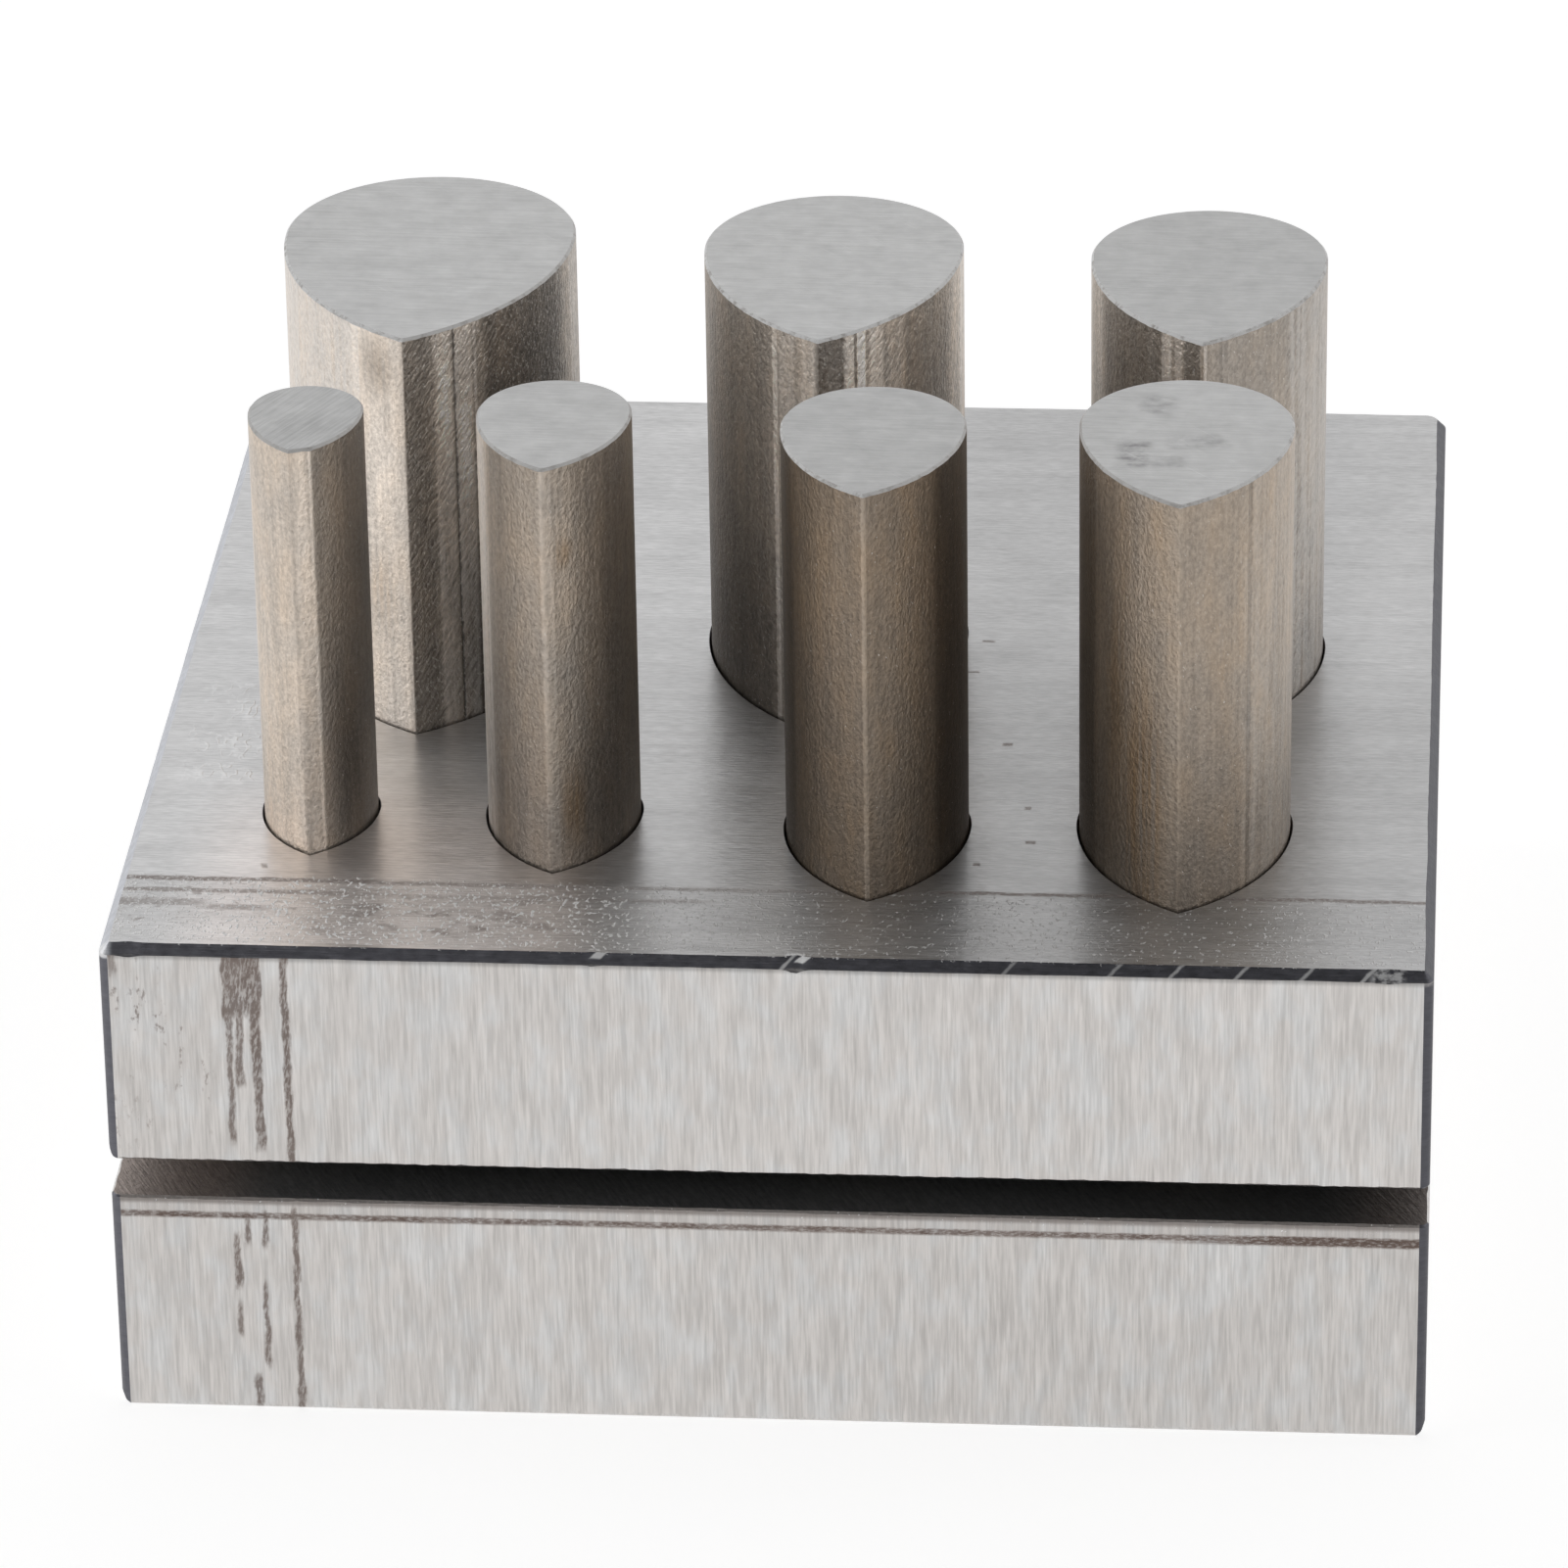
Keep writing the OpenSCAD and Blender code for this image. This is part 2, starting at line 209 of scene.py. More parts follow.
class CutterSizes(PropertyGroup):
    """Small edges and gaps. The plates, punches and fasteners take their other sizes from the frame."""

    bevel: length("Top bevel", "Bevel along the guide plate's top edges", 0.5 * MM)
    bevel_wander: length("Bevel wander", "How far the hand-made bevel strays", 0.05 * MM)
    front_round: length("Front corners", "Radius of the upright edges at the front", 0.5 * MM)
    back_round: length("Back corners", "Radius of the upright edges at the back", 1.2 * MM)
    side_foot: length("Side foot", "Radius under the die plate's sides", 0.9 * MM)
    front_foot: length("Front foot", "Radius under the die plate's front and back", 0.4 * MM)
    edge_break: length("Edge break", "Small bevel of every other plate edge", 0.12 * MM)
    hole_break: length("Hole break", "Small bevel round the guide plate's holes", 0.05 * MM)
    deburr_w: length("Deburred width", "Width of the guide plate's worn lower left edge", 0.5 * MM)
    deburr_h: length("Deburred height", "Height of that worn edge", 0.8 * MM)
    guide_gap: length("Guide gap", "Gap between a punch and the guide plate", 0.1 * MM)
    die_gap: length("Die gap", "Gap between a punch and the die plate", 0.05 * MM)
    drill_gap: length("Drill gap", "Gap round a screw's head and shank", 0.25 * MM)
    tap_gap: length("Tapped gap", "Gap round a screw's thread", 0.03 * MM)
    ream_gap: length("Reamed gap", "Gap round a dowel pin", 0.01 * MM)
    shank_d: length("Shank", "Outside diameter of a screw's thread", 5 * MM)
    head_h: length("Head height", "Height of a screw's head", 5 * MM)
    tap_spare: length("Tapped spare", "Length of a tapped hole past the screw's end", 1.5 * MM)
    dowel_spare: length("Dowel spare", "Space above a dowel pin", 0.4 * MM)
    punch_rim: length("Punch rim", "Bevel round the struck end of a punch", 0.12 * MM)


class SteelColours(PropertyGroup):
    """Colours of the finishes."""

    top: swatch("Ground top", "Surface-ground top of the guide plate", (0.655, 0.653, 0.656))
    side: swatch("Ground sides", "Surface-ground upright faces of the plates", (0.6, 0.575, 0.555))
    end: swatch("Struck ends", "Ground ends of the punches", (0.515, 0.515, 0.513))
    rim: swatch("Rims", "Dull rim of a struck end", (0.45, 0.43, 0.41))
    # Also laid on as painted highlights and glints: along the guide plate's front top edge, at the bevel's
    # left corner, on the lit side of the punch rims and on the smooth punch streaks
    burr: swatch("Burr", "Fresh bright metal on edges and in nicks", (0.9, 0.9, 0.9))
    # Painted shade and light: the front and right bevels are painted dark for the dark reflection they take,
    # the left and back ones painted light
    bevel: swatch("Bevel", "Dark filed bevels of the guide plate", (0.12, 0.12, 0.135))
    left_bevel: swatch("Light bevels", "Bevels that face the room at the left and back", (0.42, 0.43, 0.46))
    low_spot: swatch("Low spots", "Brown skin left where the grinding missed", (0.2, 0.145, 0.122))
    # Painted shade: the faces deep inside the slot are painted darker than at its mouths
    slot_deep: swatch("Deep slot", "Faces inside the slot, away from its mouths", (0.19, 0.19, 0.19))
    side_cool: swatch("Cool sides", "Cooler patches of the upright faces", (0.585, 0.58, 0.575))
    dull: swatch("Dull top", "The top near the front, which is a little browner", (0.79, 0.75, 0.735))
    slot: swatch("Slot", "Rough faces at the slot's mouths", (0.3, 0.26, 0.24))
    wire_cut: swatch("Wire-cut steel", "Matte upright sides of the punches", (0.47, 0.425, 0.38))
    brown: swatch("Brown steel", "Tarnished upright sides of the punches", (0.445, 0.35, 0.26))
    rust: swatch("Rust", "Faint rust on the punches", (0.32, 0.2, 0.095))
    smudge: swatch("Smudge", "Dark smudges on a struck end", (0.19, 0.185, 0.19))
    oxide: swatch("Black oxide", "Coating of the cap screws", (0.03, 0.03, 0.032))
    pin: swatch("Pins", "Ground bright dowel pins", (0.6, 0.6, 0.6))


class SteelGrain(PropertyGroup):
    """How wide the grain of each finish is, and how deep it looks."""

    brush_w: length("Brush width", "Width of a brush line", 0.1 * MM)
    brush_l: length("Brush length", "Length of a brush line", 4 * MM)
    brush_deep: length("Brush depth", "Depth of the brush lines", 0.006 * MM)
    sand_w: length("Sand width", "Size of the wire-cut grain", 0.2 * MM)
    sand_deep: length("Sand depth", "Depth of the wire-cut grain", 0.07 * MM)
    seed: IntProperty(name="Seed", description="Seed of the bevel's wander", default=7)


class StudioSetup(PropertyGroup):
    """Camera, floor and lamps."""

    lens: figure("Lens", "Focal length in millimetres on a 36 mm sensor", 211.19)
    eye: FloatVectorProperty(
        name="Camera place", description="Where the camera stands", default=(0.03516, -0.4572, 0.25414),
        subtype="TRANSLATION", unit="LENGTH", size=3, precision=5,
    )
    turn: figure("Turn", "Camera's turn to the left, in degrees", 4.586)
    tilt: figure("Tilt", "Camera's tilt downwards, in degrees", 26.994)
    roll: figure("Roll", "Camera's roll, in degrees", 0.908)
    left_power: figure("Left lamp", "Power of the left softbox, in watts", 0.8)
    right_power: figure("Right lamp", "Power of the right softbox, in watts", 0.6)
    fill: figure("Fill", "World brightness that matte surfaces see", 0.5)
    floor_glow: figure("Floor glow", "How much the camera's white floor adds to its own light", 0.75)
    cloth_reach: length("Cloth reach", "Distance of the dark cloth in front", 0.9)


class Wire:
    """An output socket that takes part in sums and masks, so that 1 - mask adds a Math node."""

    def __init__(self, recipe, socket):
        self.recipe = recipe
        self.socket = socket

    def _math(self, operation, first, second):
        return self.recipe.make("ShaderNodeMath", {"operation": operation}, {0: first, 1: second})

    def __add__(self, other):
        return self._math("ADD", self, other)

    def __sub__(self, other):
        return self._math("SUBTRACT", self, other)

    def __rsub__(self, other):
        return self._math("SUBTRACT", other, self)

    def __mul__(self, other):
        return self._math("MULTIPLY", self, other)

    def __truediv__(self, other):
        return self._math("DIVIDE", self, other)

    def __abs__(self):
        return self._math("ABSOLUTE", self, 0.0)

    def most(self, other):
        return self._math("MAXIMUM", self, other)

    def ramp(self, low, high):
        """A soft step from 0 at low to 1 at high. High may be the lower one."""
        return self.recipe.make(
            "ShaderNodeMapRange", {"interpolation_type": "SMOOTHSTEP"},
            {"Value": self, "From Min": low, "From Max": high},
        )

    def spot(self, middle, half, soft):
        """1 within half of the middle, with soft ends."""
        return abs(self - middle).ramp(half + soft, half)

    def band(self, low, high, soft):
        """1 between low and high, with soft ends."""
        return self.spot((low + high) / 2, (high - low) / 2, soft)

    def blend(self, under, over):
        """One colour laid over another where this mask is 1."""
        return self.recipe.make(
            "ShaderNodeMix", {"data_type": "RGBA"}, {0: self, 6: colour(under), 7: colour(over)}, 2
        )

    def crumble(self, crumbs, kept):
        """Breaks this soft mask up into crumbs. Kept is the share that stays where it is 1."""
        return (crumbs + (0.28 + 0.44 * kept) * self).ramp(0.96, 1.04)

    def stain(self, crumbs):
        """Makes this soft mask patchy: half see-through, with darker crumbs."""
        return self * (0.42 + 0.58 * crumbs.ramp(0.36, 0.56))

    __radd__ = __add__
    __rmul__ = __mul__


class Recipe:
    """The nodes of one material or world."""

    def __init__(self, holder):
        self.holder = holder
        holder.use_nodes = True
        self.tree = holder.node_tree
        self.tree.nodes.clear()
        self.where = None

    def make(self, kind, settings=None, inputs=None, output=0):
        """Adds a node: its settings first, then the values or links of its sockets."""
        node = self.tree.nodes.new(kind)
        for name, value in (settings or {}).items():
            setattr(node, name, value)
        for key, value in (inputs or {}).items():
            if isinstance(value, Wire):
                self.tree.links.new(value.socket, node.inputs[key])
            else:
                node.inputs[key].default_value = value
        return Wire(self, node.outputs[output]) if node.outputs else None

    def place(self):
        """The position on the part at rest, as three wires in millimetres."""
        if self.where is None:
            where = self.make("ShaderNodeTexCoord", output="Object")
            parts = self.make("ShaderNodeSeparateXYZ", {}, {0: where})
            self.where = [Wire(self, socket) / MM for socket in parts.socket.node.outputs]
        return self.where

    def grain(self, sizes, detail=3.0, rough=0.55, seed=0, across=None):
        """Noise from 0 to 1. Its spots are so many millimetres along X, Y and Z, or along other axes."""
        scaled = [axis / size for axis, size in zip(across or self.place(), sizes)]
        scaled[2] = scaled[2] + 37.7 * seed
        point = self.make("ShaderNodeCombineXYZ", {}, dict(enumerate(scaled)))
        return self.make(
            "ShaderNodeTexNoise", {"noise_dimensions": "3D"},
            {"Vector": point, "Scale": 1.0, "Detail": detail, "Roughness": rough},
        )

    def flecks(self, sizes, low, high, **grain):
        """The spots of a grain, with nothing where it is below low."""
        return self.grain(sizes, **grain).ramp(low, high)

    def lines(self, sizes, **grain):
        """Grain with more contrast, for brush lines."""
        return self.flecks(sizes, 0.32, 0.68, detail=2.0, rough=0.5, **grain)

    def tone(self, paint, value):
        """A colour made lighter or darker by a value."""
        grey = self.make("ShaderNodeCombineColor", {}, {0: value, 1: value, 2: value})
        return self.make(
            "ShaderNodeMix", {"data_type": "RGBA", "blend_type": "MULTIPLY"},
            {0: 1.0, 6: colour(paint), 7: grey}, 2,
        )

    def bump(self, height, deep, under=None):
        """A Bump node for a height from 0 to 1 that is deep metres."""
        inputs = {"Height": height, "Distance": deep, "Strength": 1.0}
        if under is not None:
            inputs["Normal"] = under
        return self.make("ShaderNodeBump", {}, inputs)

    def finish(self, inputs):
        """The Principled shader and the output."""
        shader = self.make("ShaderNodeBsdfPrincipled", {}, inputs)
        self.make("ShaderNodeOutputMaterial", {}, {"Surface": shader})
        return self.holder

    def steel(self, paint, metallic, rough, normal, **lay):
        """A metal finish. Lay tells how a brushed face's lines run."""
        return self.finish({
            "Base Color": paint, "Metallic": metallic, "Roughness": rough, "Normal": normal, **lay,
        })

    def lay_of(self, axis):
        """The direction across a brushed face's lines. It is the same all over a flat face."""
        return self.make("ShaderNodeTangent", {"direction_type": "RADIAL", "axis": axis})


def new_finish(name):
    """The recipe of a new material."""
    return Recipe(bpy.data.materials.new(name))


def colour(value):
    """A colour as the nodes take it: a wire, or three numbers and alpha."""
    return value if isinstance(value, Wire) else (*value[:3], 1.0)


def most_of(masks):
    """The strongest of several masks."""
    strongest = masks[0]
    for mask in masks[1:]:
        strongest = strongest.most(mask)
    return strongest


def ground_top(colours, grain):
    """The guide plate's top: brushed along X, with rough lines near the front that the grinding missed."""
    recipe = new_finish("ground_top")
    x, y, _ = recipe.place()
    fine = recipe.lines((grain.brush_l / MM, grain.brush_w / MM, 1.0))
    short = recipe.lines((0.8, 0.14, 1.0), seed=3)
    wide = recipe.grain((9.0, 0.6, 1.0), detail=2.0, seed=5)
    clouds = recipe.grain((5.0, 4.0, 5.0), seed=2)
    # Painted shade and reflection: the top is darker towards the right, towards the front and in a narrow
    # band, and lighter again at the far right
    painted_shading = 1.0 - 0.19 * x.ramp(-26.0, 34.0)
    painted_shading = painted_shading - 0.1 * y.ramp(5.0, -8.0) * x.ramp(-14.0, 0.0)
    painted_shading = painted_shading - 0.06 * x.band(9.0, 13.0, 4.0) + 0.08 * x.ramp(27.0, 32.0)
    # fine curled marks left of the smallest punch
    curls = abs(recipe.grain((1.3, 2.0, 1.0), detail=2.0, seed=7) - 0.5).ramp(0.04, 0.0)
    curls = curls * x.band(-32.5, -29.5, 1.5) * y.band(-14.0, -5.0, 3.0)
    curls = curls * clouds.ramp(0.4, 0.55)
    light = 0.81 + 0.12 * fine + 0.14 * short + 0.25 * (wide - 0.5) + 0.28 * (clouds - 0.5) + 0.13 * curls
    dull = y.ramp(-12.0, -24.0) * x.band(-28.0, -12.0, 5.0)
    tint = recipe.tone(dull.blend(colours.top, colours.dull), painted_shading * light)

    crumbs = recipe.grain((0.25, 0.25, 1.0), detail=4.0, rough=0.65, seed=9)
    bare = recipe.grain((2.0, 1.2, 1.0), detail=2.0, seed=16)
    wander = 0.4 * (recipe.grain((2.0, 1.0, 1.0), seed=8) - 0.5)
    marks = [
        strength * (y + wander).spot(back, half, 0.22) * x.band(left, right, 2.0)
        for back, half, left, right, strength in TOP_LINES
    ]
    marks += [
        0.6 * (x + wander).spot(across, half_w, 0.15) * (y + wander).spot(back, half_d, 0.15)
        for across, back, half_w, half_d in TOP_MARKS
    ]
    dust = recipe.flecks((0.6, 0.5, 1.0), 0.56, 0.68, detail=4.0, rough=0.65, seed=12)
    marks.append(0.5 * dust * y.band(-31.5, -27.8, 1.5) * x.ramp(-6.0, -30.0))
    stained = 0.7 * bare.ramp(0.5, 0.7) * y.band(-32.6, -28.8, 1.2)
    marks.append(stained * x.band(-22.0, -12.0, 4.0))
    brown = most_of(marks).stain(crumbs)
    tint = (0.8 * brown).blend(tint, colours.low_spot)

    strip = y.band(-34.0, -27.2, 0.4) * (0.4 + 0.6 * x.ramp(4.0, -16.0))
    dots = recipe.grain((0.2, 0.34, 1.0), detail=1.0, seed=14)
    size = recipe.grain((0.5, 0.6, 1.0), detail=1.0, seed=17)
    specks = (dots + 0.1 * (bare - 0.5) + 0.2 * (size - 0.5) + 0.08 * strip).ramp(0.66, 0.74) * strip
    beads = dots.ramp(0.6, 0.7) * (y + wander).band(-27.3, -26.8, 0.3) * x.ramp(0.0, -16.0)
    chips = recipe.grain((0.25, 0.2, 1.0), seed=15)
    # Burrs along the front edge, partly painted glints
    burrs_and_glints = y.ramp(-33.9, -34.45).crumble(chips, 0.12)
    # only the first two nicks show on the top
    nicks = most_of([x.spot(at, half, 0.2) * y.ramp(-34.0, -34.2) for at, half, _ in NICKS[:2]])
    bright = most_of([specks, 0.7 * beads, 0.7 * burrs_and_glints, nicks * chips.ramp(0.35, 0.65)])
    tint = bright.blend(tint, colours.burr)
    normal = recipe.bump(fine + short, grain.brush_deep)
    relief = bright - 0.5 * brown + 0.8 * curls + 0.8 * strip * crumbs
    return recipe.steel(
        tint, 1.0 - 0.4 * brown - 0.4 * bright,
        0.34 + 0.08 * fine + 0.2 * brown + 0.3 * bright + 0.06 * strip,
        recipe.bump(relief, 0.03 * MM, normal), Anisotropic=0.7, Tangent=recipe.lay_of("X"),
    )


def ground_side(colours, grain):
    """The plates' upright faces: ground from top to bottom, with brown low spots at the left of the front."""
    recipe = new_finish("ground_side")
    x, y, z = recipe.place()
    fine = recipe.lines((0.12, 0.12, 2.2))
    streaks = recipe.grain((0.3, 0.3, 4.0), rough=0.6, seed=4)
    clouds = recipe.grain((1.5, 1.5, 2.5), seed=6)
    # Painted shade: the die plate's faces grow darker towards the right
    lower = z.ramp(15.0, 13.0) * (0.9 * x.ramp(-14.0, 10.0))
    shade = 0.92 + 0.2 * fine + 0.45 * (streaks - 0.5) + 0.25 * (clouds - 0.5) - 0.05 * lower
    front = y.ramp(-34.6, -34.9)
    # Painted shade on the front faces just under the bevel
    edge = front * z.ramp(27.15, 27.5)
    under = front * z.ramp(12.5, 12.8) * z.ramp(13.5, 13.4)
    paint = clouds.ramp(0.4, 0.7).blend(colours.side, colours.side_cool)
    tint = recipe.tone(paint, shade * (1.0 - 0.4 * edge))
    tint = (0.7 * under).blend(tint, colours.slot)

    crumbs = recipe.grain((0.12, 0.12, 0.45), detail=4.0, rough=0.65, seed=9, across=(x - 0.15 * z, y, z))
    wander = 0.6 * (recipe.grain((0.8, 0.8, 1.4), detail=4.0, rough=0.6, seed=8) - 0.5)
    spots = most_of([
        strength * (x + wander).spot(across, half, 0.16) * (z + 2.0 * wander).band(low, high, 0.7)
        for across, half, low, high, strength in FRONT_SPOTS
    ])
    fibres = recipe.grain((0.35, 0.35, 0.13), detail=4.0, rough=0.7, seed=13)
    tufts = recipe.grain((1.5, 1.5, 0.5), detail=2.0, seed=18)
    lip = (0.5 + tufts) * (z + 0.1 * wander).band(11.86, 12.04, 0.2)
    lip = lip.most(1.3 * (z + 0.2 * wander).band(11.72, 12.08, 0.2) * x.ramp(18.0, 28.0))
    dust = recipe.flecks((0.35, 0.35, 0.7), 0.54, 0.64, detail=4.0, rough=0.65, seed=12)
    dust = 0.7 * dust * x.ramp(-28.6, -30.0) * z.ramp(14.0, 20.0)
    dust = dust * recipe.flecks((0.9, 0.9, 5.0), 0.48, 0.62, detail=2.0, seed=19)
    brown = most_of([spots.stain(crumbs), lip.stain(fibres), dust]) * front
    brown = brown.most(0.12 * front * z.band(12.1, 12.8, 0.1))
    tint = (0.85 * brown).blend(tint, colours.low_spot)
    specks = recipe.flecks((0.16, 0.16, 0.16), 0.7, 0.78, detail=1.0, seed=15)
    bright = specks * z.band(12.4, 13.1, 0.1) * front
    tint = bright.blend(tint, colours.burr)
    normal = recipe.bump(fine + 0.6 * streaks, grain.brush_deep)
    relief = bright - 0.5 * brown + 0.8 * brown * crumbs
    return recipe.steel(
        tint, 1.0 - 0.4 * brown - 0.5 * under, 0.34 + 0.1 * fine + 0.2 * brown,
        recipe.bump(relief, 0.03 * MM, normal), Anisotropic=0.6,
    )


def painted_bevel(colours, grain):
    """The guide plate's bevels, painted dark in front and at the right and painted light at the left and
    back, with light scratches and nicks.
    """
    recipe = new_finish("painted_bevel")
    x, y, z = recipe.place()
    spots = recipe.grain((0.6, 0.6, 0.3), seed=3)
    drawn = recipe.grain((2.5, 2.5, 0.06), detail=2.0, seed=4)
    front = y.ramp(-34.0, -34.3)
    high = z.ramp(27.2, 27.4)
    # Painted sheen: the bevels at the left and back are painted light
    painted_sheen = x.ramp(-34.2, -34.5).most(y.ramp(34.2, 34.5))
    paint = (painted_sheen * high).blend(colours.bevel, colours.left_bevel)
    # Painted shade: the bevels grow darker towards the right
    tint = recipe.tone(paint, (0.5 + 0.6 * spots + 0.4 * drawn) * (1.2 - 0.4 * x.ramp(-26.0, 16.0)))
    # Painted light: the front bevel is lighter along its lower edge
    fade = front * (z + 0.1 * spots).ramp(27.62, 27.5) * high
    tint = (0.4 * fade * (drawn + spots).ramp(0.7, 1.2)).blend(tint, colours.side)
    slanted = x - 1.3 * (z - 27.75) + 0.2 * (spots - 0.5)
    scratches = most_of([
        strength * slanted.spot(at, half, 0.16) * z.ramp(low, low + 0.1)
        for at, half, strength, low in BEVEL_SCRATCHES
    ])
    chips = recipe.grain((0.25, 0.25, 0.2), seed=15)
    # Burrs along the top edge, partly painted glints
    burrs_and_glints = z.ramp(27.75, 27.98).crumble(chips, 0.2)
    worn = x.band(32.0, 33.2, 0.5) * spots.ramp(0.4, 0.6)
    # Painted highlight at the left end of the front bevel
    corner = x.ramp(-34.4, -34.8)
    bright = most_of([scratches, 0.7 * burrs_and_glints, 0.6 * corner, 0.6 * worn]) * front * high
    tint = bright.blend(tint, colours.burr)
    relief = recipe.bump(spots + 0.5 * drawn, 0.03 * MM)
    return recipe.steel(tint, 1.0 - 0.5 * bright, 0.36 + 0.2 * spots, relief)


def slot_face(colours, grain):
    """The rough faces inside the slot, painted darker away from its left mouth and towards its right end."""
    recipe = new_finish("slot_face")
    x, y, z = recipe.place()
    sand = recipe.grain((0.3, 0.3, 0.3), rough=0.6)
    drawn = recipe.grain((0.2, 1.4, 0.4), seed=2, across=(x + 0.5 * y, y, z))
    # Painted shade: darker inside the slot than at its left mouth, and darkest towards its right end
    paint = x.band(-26.0, 29.0, 4.0).blend(colours.slot, colours.slot_deep)
    painted_slot_shade = 1.25 - 0.3 * x.ramp(-33.5, -22.0) - 0.4 * x.ramp(8.0, 30.0)
    tint = recipe.tone(paint, painted_slot_shade * (0.2 + 0.7 * sand + 1.0 * drawn))
    return recipe.steel(tint, 0.8, 0.55, recipe.bump(sand + drawn, 0.6 * grain.sand_deep))


def cut_bore(colours, grain):
    """The holes' walls: wire-cut or reamed, a little darker than the slot."""
    recipe = new_finish("cut_bore")
    sand = recipe.grain((0.2, 0.2, 0.5), detail=2.0)
    tint = recipe.tone(colours.slot, 0.4 + 0.6 * sand)
    return recipe.steel(tint, 0.9, 0.5, recipe.bump(sand, 0.3 * grain.sand_deep))


def wire_cut(colours, grain, name):
    """A punch's sides: matte, with fine sandy grain, upright streaks and some tarnish, and painted light and
    shade: a lighter flank left of the point, painted highlights down some streaks, painted shade towards the
    foot, and painted glints.
    """
    recipe = new_finish(f"wire_cut_{name}")
    number = int(name[-1])
    pear = Pear(name)
    x, y, z = recipe.place()
    left, right, foot, _, brown, coarse_left, coarse_right = STEEL_OF_PUNCH[name]
    turn = NOSES[name][1] if name in NOSES else 0.0

    size = grain.sand_w / MM
    sand = recipe.grain((size, size, 1.4 * size), rough=0.6, seed=number)
    lean = (0.45 if coarse_right > 1.0 else 0.12) * z
    dents = recipe.grain((0.28, 0.28, 0.6), detail=2.0, seed=20 + number, across=(x - lean, y - lean, z))
    streaks = recipe.grain((0.35, 0.35, 11.0), detail=4.0, rough=0.6, seed=10 + number)
    clouds = recipe.grain((1.6, 1.6, 3.5), seed=30 + number)

    front = y.ramp(pear.y / MM + 0.5, pear.y / MM - 0.5)
    across = x - pear.x / MM + 0.12 * (sand - 0.5) + 0.1 * (dents - 0.5)
    right_side = across.ramp(turn - 0.06, turn + 0.06)
    side = left + (right - left) * right_side
    coarse = coarse_left + (coarse_right - coarse_left) * right_side
    # The flank left of the point is lighter: partly the steel's own tone, partly painted light
    tone_and_painted_light = (side - 0.8) * front + 0.8
    smooth_bands = []
    # Streaks: partly the steel's own, partly painted highlights and shade
    for start, end, light, smooth in STREAKS[name]:
        soft = min(0.6, max(0.04, 0.3 * (end - start)))
        band = across.band(start, end, soft) * front
        tone_and_painted_light = tone_and_painted_light * (1.0 + (light - 1.0) * band)
        smooth_bands.append(smooth * band)
    smooth_with_painted_highlight = most_of(smooth_bands)
    rusty = 0.35 * clouds.ramp(0.45, 0.8) * streaks.ramp(0.35, 0.6) * brown
    # Patches: partly the steel's own tone, partly painted light and shade, and rust
    for over, height, half, tall, light, rust in PATCHES[name]:
        spot = across.spot(over, 0.0, half) * z.spot(height, 0.0, tall) * front
        tone_and_painted_light = tone_and_painted_light * (1.0 + (light - 1.0) * spot)
        rusty = rusty.most(rust * spot * streaks.ramp(0.3, 0.62))
    # Painted shade: darker towards the foot, mostly on the front
    depth = 1.0 - (1.0 - foot) * z.ramp(46.0, 28.0) * (0.2 + 0.8 * front)
    pitted = 0.35 * coarse * (dents - 0.5) + 0.5 * (clouds - 0.5)
    drawn = 0.6 - 0.4 * smooth_with_painted_highlight
    shade = 0.82 + 0.28 * (sand.ramp(0.3, 0.7) - 0.5) + drawn * (streaks - 0.5) + pitted
    shade = tone_and_painted_light * depth * (shade + 0.14)
    paint = (brown + 0.9 * (clouds - 0.5)).most(0.0).blend(colours.wire_cut, colours.brown)
    paint = (0.75 * rusty).blend(paint, colours.rust)
    # Painted glints: light specks, more of them where the grain is coarse
    flecks = recipe.grain((0.13, 0.13, 0.3), detail=1.0, seed=40 + number, across=(x + 0.5 * z, y, z))
    painted_glints = (flecks + 0.05 * (coarse - 1.0)).ramp(0.7, 0.78)
    tint = (0.5 * painted_glints).blend(recipe.tone(paint, shade), (0.78, 0.75, 0.71))
    # Painted highlight: the smooth streaks are painted bright, and they are also smoother
    smooth_with_painted_highlight = smooth_with_painted_highlight * (streaks + 0.5 * dents).ramp(0.5, 0.9)
    tint = (0.5 * smooth_with_painted_highlight).blend(tint, colours.burr)
    normal = recipe.bump(sand, grain.sand_deep)
    normal = recipe.bump(dents + 0.5 * streaks, 0.5 * coarse * grain.sand_deep, normal)
    return recipe.steel(tint, 0.9 - 0.5 * smooth_with_painted_highlight, 0.44 + 0.1 * sand - 0.14 * smooth_with_painted_highlight, normal)


